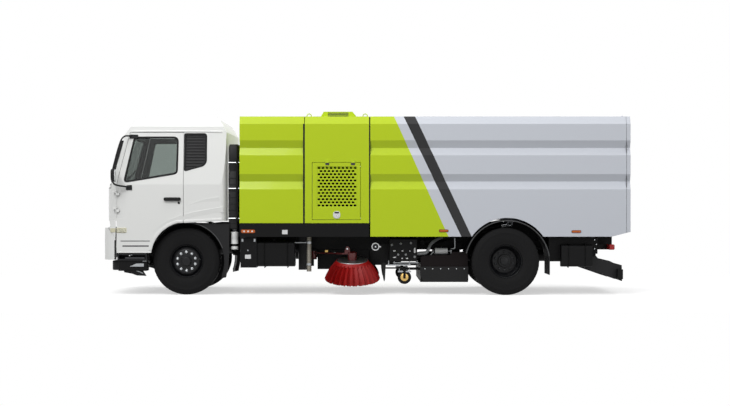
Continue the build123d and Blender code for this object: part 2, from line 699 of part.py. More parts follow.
def mirror_set():
    """The left mirror: arms from the door's front edge, a head and a small kerb mirror above."""
    y = -CAB_HALF_WIDTH
    foot = block((-3750, -3660), (y - 14, y), (1640, 1722))
    arm_low = bar((-3700, y - 12, 1680), (-3930, y - 180, 1800), 14)
    head = along_y(outline([(-3960, 1770), (-3900, 1770), (-3880, 1972), (-3940, 1972)], 12), y - 270, y - 90)
    stem = bar((-3925, y - 180, 1960), (-3960, y - 160, 2440), 11)
    low_z, high_z = 2455, 2515
    seat = outline([(-side_half_width(low_z), low_z), (-side_half_width(high_z), high_z),
                    (-side_half_width(high_z) - 16, high_z), (-side_half_width(low_z) - 16, low_z)])
    foot_high = along_x(seat, -3700, -3600)
    arm_high = bar((-3960, y - 160, 2440), (-3660, -side_half_width(2485) - 8, 2485), 7)
    upper_face = outline([(-4010, 2120), (-3965, 2120), (-3950, 2330), (-3995, 2330)], 12)
    upper = along_y(upper_face, y - 260, y - 100)
    return foot + arm_low + head + stem + foot_high + arm_high + upper


def dashboard():
    """The dash across the cab under the windscreen."""
    face = outline([(-3960, 1640), (-3900, 1700), (-3560, 1700), (-3470, 1600), (-3520, 1420),
                    (-3620, 1206), (-3700, 1206), (-3700, 1560)], 12)
    return along_y(face, -CAB_HALF_WIDTH + 170, CAB_HALF_WIDTH - 170)


def seats():
    """Driver's and passenger's seats on their boxes."""
    floor = CAB_BOTTOM_Z + CAB_WALL
    base = block((-3080, -2640), (-780, -420), (floor, 1480))
    cushion = along_y(outline([(-3160, 1480), (-2620, 1480), (-2620, 1570), (-3140, 1610)], 30), -860, -390)
    back = along_y(outline([(-2700, 1560), (-2600, 1560), (-2450, 2130), (-2540, 2150)], 30), -860, -390)
    rest = along_y(outline([(-2560, 2150), (-2460, 2130), (-2420, 2310), (-2500, 2330)], 25), -740, -510)
    return pair(base + cushion + back + rest)


def steering_wheel():
    """The steering wheel on its column, in front of the driver's seat on the left."""
    hub = Plane(origin=(-3390, -620, 1770), z_dir=(0.55, 0, 0.83))
    rim = hub * (Cylinder(230, 28) - Cylinder(200, 40))
    spokes = hub * (Box(36, 420, 16) + Box(420, 36, 16) + Cylinder(60, 30))
    column = bar((-3390, -620, 1770), (-3520, -620, 1574), 32)
    return rim + spokes + column


# ---- superstructure in front of the hopper --------------------------------------------------------
# how far each break in the ridged side lies below the top, and the share of the groove's depth there
RIDGE_BREAKS = (
    (BODY_BEVEL, 0.0), (376.0, 0.0), (493.0, 1.0), (608.0, 0.0), (902.0, 0.0), (1016.0, 1.0), (1139.0, 0.0),
)


def body_section(bottom, grooved):
    """The superstructure's cross-section: bevelled shoulders, and two V-grooves along the ridged panels."""
    left = [(-BODY_HALF_WIDTH, bottom)]
    for below, depth in reversed(RIDGE_BREAKS if grooved else RIDGE_BREAKS[:1]):
        left.append((-BODY_HALF_WIDTH + depth * GROOVE_DEPTH, BODY_TOP_Z - below))
    left.append((-BODY_HALF_WIDTH + BODY_BEVEL / 2, BODY_TOP_Z))
    right = [(-y, z) for y, z in reversed(left)]
    return outline(left + right)


def water_tank():
    """The clean-water tank: a ridged box across the truck, closed all round."""
    shape = along_x(body_section(BODY_FLOOR_Z, True), TANK_FRONT_X, TANK_REAR_X)
    lid = Pos(-1475, 0, BODY_TOP_Z) * Cylinder(230, 60)
    return shape + lid


def engine_housing():
    """The hollow housing of the sweeping engine, with a doorway in each side, and its roof cowl."""
    x0 = TANK_REAR_X + BODY_JOINT_GAP
    shape = along_x(body_section(BODY_FLOOR_Z, False), x0, HOUSING_REAR_X)
    inner_y = BODY_HALF_WIDTH - BODY_WALL
    shape -= block((x0 + BODY_WALL, HOUSING_REAR_X - BODY_WALL), (-inner_y, inner_y),
                   (BODY_FLOOR_Z + BODY_WALL, BODY_TOP_Z - BODY_BEVEL - BODY_WALL))
    through = (-BODY_HALF_WIDTH - 10, -BODY_HALF_WIDTH + BODY_WALL + 10)
    doorway = block(FLAP_X, through, FLAP_Z)
    shape -= pair(doorway)
    shape += pair(flap_hinges(FLAP_HINGE_LENGTH + FIT, (FLAP_Z[1], FLAP_Z[1] + 40)))
    return shape + roof_cowl()


def flap_hinges(shift, leaf_z):
    """Hinge barrels along the left flap's top edge, shifted along it, with leaves over the heights given."""
    y = -BODY_HALF_WIDTH - FLAP_HINGE_R
    z = FLAP_Z[1] - RUNNING_GAP / 2
    shape = None
    for start in FLAP_HINGES:
        low = start + shift
        high = low + FLAP_HINGE_LENGTH
        knuckle_part = bar((low, y, z), (high, y, z), FLAP_HINGE_R)
        knuckle_part += block((low, high), (y + 2, -BODY_HALF_WIDTH), leaf_z)
        shape = knuckle_part if shape is None else shape + knuckle_part
    return shape


def sweeping_engine():
    """The second engine and its fan, which drive the suction, as one plain block."""
    return block((-820, -120), (-520, 520), (BODY_FLOOR_Z + BODY_WALL, 1980))


def engine_flap():
    """The left engine flap, hinged along its top edge, open where its grille goes."""
    y = -BODY_HALF_WIDTH
    low_z = FLAP_Z[0] + RUNNING_GAP
    panel = block((FLAP_X[0] + RUNNING_GAP, FLAP_X[1] - RUNNING_GAP), (y, y + FLAP_THICK),
                  (low_z, FLAP_Z[1] - RUNNING_GAP))
    panel -= block(GRILLE_X, (y - 10, y + FLAP_THICK + 10), GRILLE_Z)
    latch = bar_y(-464, 1255, 42, y - 8, y)
    top = FLAP_Z[1] - RUNNING_GAP
    return panel + latch + flap_hinges(0, (top - 40, top))


def grille():
    """The left flap's grille plate, with rows of air slots."""
    y = -BODY_HALF_WIDTH + 6
    plate = block(GRILLE_X, (y, y + 6), GRILLE_Z)
    pitch_x = (GRILLE_X[1] - GRILLE_X[0]) / GRILLE_COLUMNS
    pitch_z = (GRILLE_Z[1] - GRILLE_Z[0]) / GRILLE_ROWS
    slots = []
    for row in range(GRILLE_ROWS):
        z = GRILLE_Z[0] + (row + 0.5) * pitch_z
        for column in range(GRILLE_COLUMNS):
            x = GRILLE_X[0] + (column + 0.5) * pitch_x
            slots.append(Pos(x, y + 3, z) * Box(pitch_x * 0.86, 20, pitch_z * 0.5))
    return plate - slots


def roof_cowl():
    """The raised air cowl on the engine housing's roof, with sloping skirts."""
    top = BODY_TOP_Z + COWL_HEIGHT
    face = outline([(-755, BODY_TOP_Z), (-687, top), (-224, top), (-130, BODY_TOP_Z)])
    return along_y(face, -COWL_HALF_WIDTH, COWL_HALF_WIDTH)


def subframe():
    """The frame that carries the body: two runners on the rails, outriggers, side sills and tip lugs."""
    runner = block((TANK_FRONT_X + 20, 3720), (-RAIL_OUTER_Y, -RAIL_OUTER_Y + 75), (RAIL_TOP, BODY_FLOOR_Z))
    sill_y = -BODY_HALF_WIDTH + SILL_INSET + SILL_THICK
    sill = block((TANK_FRONT_X, HOUSING_REAR_X), (sill_y - SILL_THICK, sill_y), (SILL_BOTTOM_Z, BODY_FLOOR_Z))
    shape = runner + sill
    for x in (-1940, -1060, -880, 0):
        shape += block((x - 30, x + 30), (sill_y, -RAIL_OUTER_Y), (BODY_FLOOR_Z - 86, BODY_FLOOR_Z))
    lug_face = outline([(3650, RAIL_TOP), (3840, RAIL_TOP), (3840, 1000), (3720, BODY_FLOOR_Z),
                        (3650, BODY_FLOOR_Z)])
    lug = along_y(lug_face, -RAIL_OUTER_Y, -RAIL_OUTER_Y + 75)
    shape = pair(shape + lug)
    return shape + bar_y(TIP_PIN_X, TIP_PIN_Z, TIP_PIN_R, -RAIL_OUTER_Y, RAIL_OUTER_Y)


# ---- boxes, tanks and guards along the frame ------------------------------------------------------
def fuel_tank():
    """The fuel tank on the left rail, with its straps' brackets."""
    face = outline([(-1130, 444), (-640, 444), (-640, 850), (-1130, 850)], 70)
    tank = along_x(face, -1713, -1129)
    for x in (-1620, -1220):
        tank += block((x - 30, x + 30), (-650, -RAIL_OUTER_Y), (700, 780))
    return tank


def battery_box():
    """The battery box in front of the fuel tank."""
    box = block((-1971, -1720), (-1160, -640), (429, 905))
    return box + block((-1880, -1810), (-650, -RAIL_OUTER_Y), (720, 800))


def air_canister():
    """The filter canister and cap beside the ladder."""
    body = bar((-2070, -1060, 709), (-2070, -1060, 990), 58)
    cap = bar((-2070, -1060, 990), (-2070, -1060, 1052), 40)
    stay = block((-2095, -2045), (-1040, -RAIL_OUTER_Y), (760, 800))
    return body + cap + stay


def hydraulic_tank():
    """The oil tank and its box behind the rear wheel on the left."""
    box = block((2870, 3578), (-1000, -640), (520, 905))
    tank = along_x(outline([(-1180, 444), (-1000, 444), (-1000, 787), (-1180, 787)], 40), 3048, 3532)
    stay = block((3100, 3200), (-640, -RAIL_OUTER_Y), (740, 820))
    return box + tank + stay


def hydrant_coupling():
    """The filling port on the left: a flanged socket on a pipe from the rail."""
    x, z, face_y = HYDRANT_X, HYDRANT_Z, -HYDRANT_FACE_Y
    pipe = bar_y(x, z, HYDRANT_R - 4, face_y + HYDRANT_DEPTH, -RAIL_OUTER_Y)
    socket = bar_y(x, z, HYDRANT_R + 12, face_y, face_y + HYDRANT_DEPTH + 12)
    flange = bar_y(x, z, HYDRANT_R + 22, face_y, face_y + 14)
    return pipe + socket + flange - bar_y(x, z, HYDRANT_R, face_y - 10, face_y + HYDRANT_DEPTH)


def exhaust():
    """The silencer and its tail pipe on the right rail."""
    body = bar((-1900, 800, 640), (-1150, 800, 640), 150)
    tail = bar((-1150, 800, 640), (-1000, 1050, 560), 45)
    stay = block((-1560, -1480), (RAIL_OUTER_Y, 800), (780, 800))
    stay += block((-1560, -1480), (RAIL_OUTER_Y, RAIL_OUTER_Y + 12), (720, 800))
    return body + tail + stay


def air_tanks():
    """Compressed-air tanks behind the rear wheel on the right."""
    shape = None
    for z in (560, 800):
        tank = bar((2900, 800, z), (3550, 800, z), 105)
        shape = tank if shape is None else shape + tank
    shape += block((3180, 3260), (RAIL_OUTER_Y, 800), (650, 710))
    shape += block((3180, 3260), (RAIL_OUTER_Y, RAIL_OUTER_Y + 12), (650, 800))
    return shape


def rungs():
    """The ladder between the cab and the body, bolted to the water tank's front."""
    outer, inner = BODY_HALF_WIDTH - 50, BODY_HALF_WIDTH - 420
    x0, x1 = TANK_FRONT_X - 61, TANK_FRONT_X - 31
    shape = block((x0, x1), (-outer, -outer + 30), (1150, 2120))
    shape += block((x0, x1), (-inner - 10, -inner + 20), (1150, 2120))
    for z in (1200, 1667, 2073):
        shape += bar((x0 + 15, -outer, z), (x0 + 15, -inner, z), 14)
    for z in (1300, 2000):
        shape += block((x1, TANK_FRONT_X), (-outer + 160, -outer + 200), (z, z + 30))
        shape += block((x0, x1), (-outer + 30, -inner - 10), (z, z + 30))
    return shape


def rear_fenders():
    """A curved guard over each pair of rear tyres, with its flap and stays to the rail."""
    x, z = ARCH_CENTRE_X, ARCH_CENTRE_Z - 20
    outer, inner = 664.0, 652.0
    sector = [(0, 0)]
    for angle in (8, 50, 90, 130, 168):
        a = math.radians(angle)
        sector.append((1000 * math.cos(a), 1000 * math.sin(a)))
    ring = (Circle(outer) - Circle(inner)) & outline(sector)
    outside = -BODY_HALF_WIDTH + 15
    guard = along_y(Pos(x, z) * ring, outside, -620)
    flap_top = z + inner * math.sin(math.radians(8))
    flap_x = x + inner * math.cos(math.radians(8))
    flap = block((flap_x, flap_x + 14), (outside, -640), (320, flap_top))
    pieces = [guard + flap]
    for end in (-1, 1):
        stay_x = x + end * inner * math.cos(math.radians(STAY_ANGLE))
        stay_z = z + inner * math.sin(math.radians(STAY_ANGLE))
        reach = (-620 + FIT, -RAIL_OUTER_Y)
        pieces.append(block((stay_x - 25, stay_x + 25), reach, (stay_z - 12, stay_z + 12)))
    return Compound(pieces + [mirrored(piece) for piece in pieces])


def tail_lamps():
    """Lamp boxes on brackets behind the rear wheels."""
    box = block((3800, 3867), (-1200, -900), (709, 792))
    arm = block((3800, 3840), (-900, -RAIL_OUTER_Y), (730, 770))
    return pair(box + arm)


def underrun_guard():
    """Two hanging arms and the bar across the tail."""
    face = outline([(3392, 429), (4015, 210), (4015, 460), (3921, 507), (3700, 560), (3700, RAIL_BOTTOM),
                    (3500, RAIL_BOTTOM)])
    arm = along_y(face, -RAIL_OUTER_Y, -RAIL_OUTER_Y + 20)
    rail = block((3935, 4015), (-1150, 1150), (250, 400))
    return pair(arm) + rail


# ---- hopper ---------------------------------------------------------------------------------------
def hopper_shell():
    """The tipping hopper: ridged walls, floor, roof and front, with skirts cut to the wheel arches."""
    joint_x = HOPPER_REAR_X - TAILGATE_THICK - 5
    shape = along_x(body_section(HOPPER_SKIRT_Z, True), HOPPER_FRONT_X, joint_x)
    inner_y = BODY_HALF_WIDTH - GROOVE_DEPTH - 22
    shape -= block((HOPPER_FRONT_X + BODY_WALL, joint_x + 10), (-inner_y, inner_y),
                   (HOPPER_FLOOR_Z + BODY_WALL, BODY_TOP_Z - BODY_BEVEL))
    shape -= block((HOPPER_FRONT_X - 10, joint_x + 10), (-inner_y, inner_y),
                   (HOPPER_SKIRT_Z - 10, HOPPER_FLOOR_Z))
    shape -= tail_cut()
    shape -= bar_y(ARCH_CENTRE_X, ARCH_CENTRE_Z, ARCH_R, -BODY_HALF_WIDTH - 10, BODY_HALF_WIDTH + 10)
    shape += pair(tip_ears())
    shape += pair(cylinder_clevis())
    return shape + tailgate_hinges(0, hinge_x() - 60, hinge_x() - 2.5)


def tail_cut():
    """What the sloping tail takes off the skirts' lower rear corner."""
    face = outline([
        (TAIL_CHAMFER_X, HOPPER_SKIRT_Z),
        (HOPPER_REAR_X + 20, TAIL_CHAMFER_Z + 5),
        (HOPPER_REAR_X + 20, HOPPER_SKIRT_Z - 50),
        (TAIL_CHAMFER_X, HOPPER_SKIRT_Z - 50),
    ])
    return along_y(face, -BODY_HALF_WIDTH - 10, BODY_HALF_WIDTH + 10)


def tip_ears():
    """The left ear that hangs from the hopper's floor onto the tip pin."""
    y = -RAIL_OUTER_Y + 75 + RUNNING_GAP
    x, low = TIP_PIN_X, HOPPER_SKIRT_Z
    face = outline([
        (x - 60, HOPPER_FLOOR_Z),
        (x - 60, low + 15),
        (x - 30, low),
        (x + 30, low),
        (x + 60, low + 15),
        (x + 60, HOPPER_FLOOR_Z),
    ])
    ear = along_y(face, y, y + 50)
    return ear - bar_y(TIP_PIN_X, TIP_PIN_Z, TIP_PIN_R + FIT, y - 5, y + 55)


def cylinder_clevis():
    """Two cheeks under the hopper's floor that the rod's eye comes between."""
    x, z = CYLINDER_EYE_X, CYLINDER_EYE_Z
    shape = None
    for y in (-CYLINDER_Y - 52, -CYLINDER_Y + 36):
        corners = [(x - 60, HOPPER_FLOOR_Z), (x - 40, z - 30), (x + 40, z - 30), (x + 60, HOPPER_FLOOR_Z)]
        face = outline(corners)
        cheek = along_y(face, y, y + 16)
        shape = cheek if shape is None else shape + cheek
    return shape - bar_y(x, z, 20, -CYLINDER_Y - 80, -CYLINDER_Y + 80)


def hinge_x():
    """The tailgate's hinge line, over the joint between the hopper and the gate."""
    return HOPPER_REAR_X - TAILGATE_THICK - 2.5


def tailgate_hinges(shift, foot_low, foot_high):
    """Hinge barrels over the roof's rear edge, shifted along it, on feet between the two x given."""
    shape = None
    for start in HOPPER_HINGES:
        low = start + shift
        high = low + TAILGATE_HINGE_LENGTH
        barrel = bar_y(hinge_x(), TAILGATE_HINGE_Z, TAILGATE_HINGE_R, low, high)
        barrel += block((foot_low, foot_high), (low, high), (BODY_TOP_Z, BODY_TOP_Z + 10))
        shape = barrel if shape is None else shape + barrel
    return shape


def tailgate():
    """The full-height tailgate, hung from its top edge."""
    x0 = HOPPER_REAR_X - TAILGATE_THICK
    shape = along_x(body_section(HOPPER_SKIRT_Z, True), x0, HOPPER_REAR_X)
    shape -= tail_cut()
    wide, low, high = BODY_HALF_WIDTH - 170, HOPPER_FLOOR_Z + 100, BODY_TOP_Z - 192
    shape -= block((x0 + 22, HOPPER_REAR_X + 10), (-wide, wide), (low, high))
    for y in (-720, -240, 240, 720):
        shape += block((x0 + 22, x0 + 50), (y - 30, y + 30), (low, high))
    return shape + tailgate_hinges(TAILGATE_HINGE_LENGTH + FIT, hinge_x() + 2.5, hinge_x() + 50)


# ---- tip cylinders --------------------------------------------------------------------------------
def cylinder_point(share):
    """A point on the line from the cylinder's base to its rod's eye, as (x, z)."""
    return (CYLINDER_BASE_X + share * (CYLINDER_EYE_X - CYLINDER_BASE_X),
            CYLINDER_BASE_Z + share * (CYLINDER_EYE_Z - CYLINDER_BASE_Z))


def cylinder_bar(share_low, share_high, radius):
    """A round bar along the left cylinder's axis, between two shares of its closed length."""
    x0, z0 = cylinder_point(share_low)
    x1, z1 = cylinder_point(share_high)
    return bar((x0, -CYLINDER_Y, z0), (x1, -CYLINDER_Y, z1), radius)


def tip_barrels():
    """Both cylinder barrels with the eyes that swing on the rails' trunnions."""
    shape = cylinder_bar(0.02, 0.9, BARREL_R)
    shape -= cylinder_bar(0.07, 0.87, BARREL_R - 10)
    shape -= cylinder_bar(0.86, 0.95, ROD_R + FIT)
    shape += bar_y(CYLINDER_BASE_X, CYLINDER_BASE_Z, 42, -CYLINDER_Y - 40, -CYLINDER_Y + 40)
    shape -= bar_y(CYLINDER_BASE_X, CYLINDER_BASE_Z, 25 + FIT, -CYLINDER_Y - 45, -CYLINDER_Y + 45)
    return pair(shape)


def tip_rods():
    """Both rods with their pistons and eyes."""
    shape = cylinder_bar(0.1, 0.985, ROD_R) + cylinder_bar(0.1, 0.14, BARREL_R - 10 - FIT)
    shape += bar_y(CYLINDER_EYE_X, CYLINDER_EYE_Z, 36, -CYLINDER_Y - 30, -CYLINDER_Y + 30)
    shape -= bar_y(CYLINDER_EYE_X, CYLINDER_EYE_Z, 20, -CYLINDER_Y - 35, -CYLINDER_Y + 35)
    return pair(shape)


def cylinder_trunnions():
    """Pins on the rails that the barrels swing on."""
    pin = bar_y(CYLINDER_BASE_X, CYLINDER_BASE_Z, 25, -CYLINDER_Y - 50, -RAIL_OUTER_Y)
    collar = bar_y(CYLINDER_BASE_X, CYLINDER_BASE_Z, 60, -RAIL_OUTER_Y - 40, -RAIL_OUTER_Y)
    return pair(pin + collar)


# ---- brushes --------------------------------------------------------------------------------------
def brush_plane():
    """The left brush's own plane: its axis leans so that the outer side lies lower."""
    lean = math.radians(BRUSH_TILT_OUT)
    axis = (0, -math.sin(lean), math.cos(lean))
    return Plane(origin=(BRUSH_X, -BRUSH_Y, BRUSH_Z), x_dir=(1, 0, 0), z_dir=axis)


def brush():
    """A gutter brush: a disc and a ring of bristle tufts that flare out and down."""
    disc = Pos(0, 0, -15) * Cylinder(BRUSH_DISC_R, 30)
    root_width = 2 * math.pi * 215 / BRUSH_TUFTS * 0.86
    tip_width = 2 * math.pi * BRUSH_TIP_R / BRUSH_TUFTS * 0.86
    root = Plane(origin=(215, 0, -20)) * Rectangle(46, root_width)
    tip = Plane(origin=(BRUSH_TIP_R - 35, 0, -BRUSH_HEIGHT)) * Rectangle(70, tip_width)
    tuft = loft([root, tip], ruled=True)
    shape = disc
    for n in range(BRUSH_TUFTS):
        shape += Rot(0, 0, n * 360 / BRUSH_TUFTS) * tuft
    return brush_plane() * shape


def brush_arm():
    """The left brush arm: pivot sleeve on the rail's pin, beam, hanger and hydraulic motor."""
    x, y = ARM_PIVOT_X, -ARM_PIVOT_Y
    sleeve = bar((x, y, ARM_Z - 60), (x, y, ARM_Z + 60), 45)
    elbow_x = BRUSH_X - 140
    plan = outline([
        (x, y - 40), (x + 40, y + 10), (elbow_x + 20, -BRUSH_Y + 60),
        (BRUSH_X + 60, -BRUSH_Y + 60), (BRUSH_X + 60, -BRUSH_Y - 60), (elbow_x - 20, -BRUSH_Y - 20),
    ])
    run = along_z(plan, ARM_Z + 20, BRUSH_Z + 105)
    motor = brush_plane() * (Pos(0, 0, MOTOR_HEIGHT / 2 + FIT) * Cylinder(70, MOTOR_HEIGHT))
    return sleeve + run + motor - bar((x, y, ARM_Z - 70), (x, y, ARM_Z + 200), ARM_PIN_R + FIT)


def arm_brackets():
    """The brackets under the rails that hold the brush arms' pins."""
    x, y = ARM_PIVOT_X, -ARM_PIVOT_Y
    pin = bar((x, y, ARM_Z - 75), (x, y, ARM_Z + 75), ARM_PIN_R)
    plates = block((x - 50, x + 50), (y - 50, y + 60), (ARM_Z - 75, ARM_Z - 60 - FIT))
    plates += block((x - 50, x + 50), (y - 50, y + 60), (ARM_Z + 60 + FIT, RAIL_BOTTOM))
    web = block((x - 50, x + 50), (y + 50, y + 60), (ARM_Z - 75, RAIL_BOTTOM))
    return pair(plates + pin + web)


# ---- suction nozzle -------------------------------------------------------------------------------
def nozzle():
    """The wide suction nozzle: an open-bottomed hood welded up from plates, with a fork for each caster."""
    x0, x1, w = NOZZLE_FRONT_X, NOZZLE_REAR_X, NOZZLE_HALF_WIDTH
    low, seam, wall = NOZZLE_BOTTOM_Z, NOZZLE_TOP_Z - NOZZLE_WALL, NOZZLE_WALL
    top = block((x0, x1), (-w, w), (seam, NOZZLE_TOP_Z))
    for _, sign in SIDES:
        y = sign * DUCT_Y
        top -= bar((DUCT_X, y, seam - 5), (DUCT_X, y, NOZZLE_TOP_Z + 5), DUCT_R - wall)
    front = block((x0, x0 + wall), (-w, w), (low, seam))
    rear = block((x1 - wall, x1), (-w, w), (low, seam))
    side = block((x0 + wall, x1 - wall), (-w, -w + wall), (low, seam))
    fork = caster_fork()
    return Compound([top, front, rear, side, mirrored(side), fork, mirrored(fork)])


def nozzle_necks():
    """The round necks on top of the hood, which slide in the ducts."""
    foot = (DUCT_X, -DUCT_Y, NOZZLE_TOP_Z)
    top = (DUCT_X, -DUCT_Y, DUCT_LOW_Z + DUCT_OVERLAP)
    neck = bar(foot, top, DUCT_R) - bar(foot, top, DUCT_R - NOZZLE_WALL)
    return pair(neck)


def caster_fork():
    """The left caster's fork on an arm from the nozzle's front, with its axle."""
    x, y, top = CASTER_X, -CASTER_Y, CASTER_Z + CASTER_R + 48
    reach = CASTER_WIDTH / 2 + RUNNING_GAP
    fork = block((x - 20, NOZZLE_FRONT_X), (y - 12, y + 12), (top - 40, top))
    fork += block((x - 20, x + 20), (y - reach - PLATE, y + reach + PLATE), (top - 20, top))
    for low in (y - reach - PLATE, y + reach):
        fork += block((x - 20, x + 20), (low, low + PLATE), (CASTER_Z - 20, top))
    return fork + bar_y(x, CASTER_Z, CASTER_AXLE_R, y - reach - PLATE, y + reach + PLATE)


def caster():
    """The left caster wheel."""
    low, high = -CASTER_Y - CASTER_WIDTH / 2, -CASTER_Y + CASTER_WIDTH / 2
    wheel = bar_y(CASTER_X, CASTER_Z, CASTER_R, low, high)
    return wheel - bar_y(CASTER_X, CASTER_Z, CASTER_AXLE_R + FIT, low - 5, high + 5)


def suction_ducts():
    """The fixed ducts either side of the propeller shaft, which the nozzle's necks slide in."""
    bore = DUCT_R + DUCT_CLEARANCE
    high = HOPPER_FLOOR_Z - RUNNING_GAP
    duct = bar((DUCT_X, -DUCT_Y, DUCT_LOW_Z), (DUCT_X, -DUCT_Y, high), bore + DUCT_WALL)
    duct += block((DUCT_X - 30, DUCT_X + 30), (-RAIL_OUTER_Y + RAIL_WEB, -DUCT_Y), (760, 840))
    duct -= bar((DUCT_X, -DUCT_Y, DUCT_LOW_Z + DUCT_GUIDE), (DUCT_X, -DUCT_Y, high + 10), bore)
    duct -= bar((DUCT_X, -DUCT_Y, DUCT_LOW_Z - 10), (DUCT_X, -DUCT_Y, DUCT_LOW_Z + DUCT_GUIDE), DUCT_R + FIT)
    return pair(duct)


# ---- build ----------------------------------------------------------------------------------------
def main():
    os.makedirs("parts", exist_ok=True)
    layer = glass_layer()
    side_shell = door_side_shell()
    nodes = {
        "frame_rails": frame_rails(),
        "cross_members": Compound([cross_members(), cylinder_trunnions(), arm_brackets()]),
        "front_axle": front_axle(),
        "leaf_springs": Compound([springs(FRONT_SPRING, -430, -355, RAIL_BOTTOM),
                                  springs(REAR_SPRING, -562, -RAIL_OUTER_Y, 800)]),
        "rear_axle": rear_axle(),
        "engines": Compound([engine() + radiator(), sweeping_engine()]),
        "gearbox_and_shaft": gearbox_and_shaft(),
        "front_bumper": front_bumper(),
        "headlamps": headlamps(),
        "front_spray_bar": Compound([front_spray_bar(), bumper_brackets()]),
        "cab_steps": cab_steps(),
        "front_mudguards": front_mudguards(),
        "rear_mudguards": rear_fenders(),
        "fuel_tank": fuel_tank(),
        "battery_box": battery_box(),
        "air_canister": air_canister(),
        "frame_tanks": Compound([hydraulic_tank(), air_tanks()]),
        "exhaust": exhaust(),
        "hydrant_coupling": hydrant_coupling(),
        "subframe": subframe(),
        "water_tank": water_tank(),
        "engine_housing": engine_housing(),
        "rungs": rungs(),
        "tail_lamps": tail_lamps(),
        "underrun_guard": underrun_guard(),
        "suction_ducts": suction_ducts(),
        "cab_shell": cab_shell(),
        "cab_glass": cab_glass(layer),
        "dashboard": dashboard() + steering_wheel(),
        "seats": seats(),
        "hopper_shell": hopper_shell(),
        "tailgate": tailgate(),
        "tip_barrels": tip_barrels(),
        "tip_rods": tip_rods(),
        "nozzle": nozzle(),
        "nozzle_necks": nozzle_necks(),
    }
    # node name without its side, and the piece as modelled for the left
    sided = (
        ("knuckle", knuckle()),
        ("front_tyre", tyre(FRONT_AXLE_X, -FRONT_TRACK / 2)),
        ("front_rim", front_rim()),
        ("rear_tyres", rear_tyres()),
        ("rear_rims", rear_rims()),
        ("door", door(side_shell)),
        ("door_glass", door_glass(layer)),
        ("mirror", mirror_set()),
        ("engine_flap", engine_flap() + grille()),
        ("brush_arm", brush_arm()),
        ("brush", brush()),
        ("caster", caster()),
    )
    for name, shape in sided:
        for side, sign in SIDES:
            nodes[f"{name}_{side}"] = on_side(shape, sign)
    for name, shape in nodes.items():
        export_step(shape, f"parts/{name}.step")


main()
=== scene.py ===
"""Looks of a two-axle street sweeper truck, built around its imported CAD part.

Metres; X runs from the cab's nose (-X) to the tailgate (+X), the truck's left is -Y, and the wheels stand on
Z = 0. Pieces are modelled for the left side and mirrored for the right.
"""

import json
import logging
import math
from dataclasses import dataclass
from enum import Enum
from typing import Iterable, Sequence, Union

import bmesh
import bpy
import numpy as np
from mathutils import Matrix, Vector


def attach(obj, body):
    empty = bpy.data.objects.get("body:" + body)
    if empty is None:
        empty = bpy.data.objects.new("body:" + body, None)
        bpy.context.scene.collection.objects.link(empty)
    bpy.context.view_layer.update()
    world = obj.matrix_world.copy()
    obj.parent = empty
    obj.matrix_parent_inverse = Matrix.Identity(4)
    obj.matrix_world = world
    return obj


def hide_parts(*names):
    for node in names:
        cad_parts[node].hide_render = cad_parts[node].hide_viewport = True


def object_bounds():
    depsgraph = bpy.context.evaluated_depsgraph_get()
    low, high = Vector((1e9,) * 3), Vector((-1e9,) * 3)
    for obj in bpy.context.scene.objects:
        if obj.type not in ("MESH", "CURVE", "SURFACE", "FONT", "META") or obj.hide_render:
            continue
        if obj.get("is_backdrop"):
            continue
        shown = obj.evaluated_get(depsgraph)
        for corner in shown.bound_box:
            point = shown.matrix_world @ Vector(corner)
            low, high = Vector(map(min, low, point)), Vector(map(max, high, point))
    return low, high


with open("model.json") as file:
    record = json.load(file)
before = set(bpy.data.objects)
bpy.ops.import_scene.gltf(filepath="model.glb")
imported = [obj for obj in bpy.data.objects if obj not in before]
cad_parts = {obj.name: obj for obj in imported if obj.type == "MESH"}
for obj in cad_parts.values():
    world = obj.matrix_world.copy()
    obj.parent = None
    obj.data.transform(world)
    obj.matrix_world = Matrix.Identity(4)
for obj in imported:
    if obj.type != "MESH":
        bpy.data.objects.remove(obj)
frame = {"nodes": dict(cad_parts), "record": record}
log = logging.getLogger("sweeper")

Array = np.ndarray
Point = tuple[float, float, float]
# what a shader input takes: another node's socket, a number or a colour
Feed = Union[bpy.types.NodeSocket, float, tuple]
TAU = 2 * math.pi
ORIGIN = (0.0, 0.0, 0.0)
LEFTWARD, RIGHTWARD = (0.0, -1.0, 0.0), (0.0, 1.0, 0.0)
FORWARD, REARWARD = (-1.0, 0.0, 0.0), (1.0, 0.0, 0.0)
UPWARD = (0.0, 0.0, 1.0)
TYRE_RADIUS = 0.527
FRONT_AXLE_X, REAR_AXLE_X = -2.825, 2.175
# the left faces of the frame rail, the body's sill and the valve chest
RAIL_FACE_Y, SILL_FACE_Y, CHEST_FACE_Y = -0.431, -1.2449, -0.984
# outward normals of the windscreen, and of the cab's side above its waist
SCREEN_OUT = (-0.962, 0.0, 0.273)
SIDE_OUT = (0.0, -0.9934, 0.1146)


class Side(Enum):
    """A side of the truck, by the sign of its Y."""

    LEFT = -1
    RIGHT = 1

    @property
    def word(self) -> str:
        """The side as it stands in the names of bodies and nodes."""
        return self.name.lower()


# ---- finishes -------------------------------------------------------------------------------------------------
def linear(code: str) -> tuple[float, float, float, float]:
    """The linear colour of an sRGB code such as #adc81a, with full alpha."""
    values = np.array([int(code[i:i + 2], 16) for i in (1, 3, 5)]) / 255
    rgb = np.where(values > 0.04045, ((values + 0.055) / 1.055) ** 2.4, values / 12.92)
    return (*(float(v) for v in rgb), 1.0)


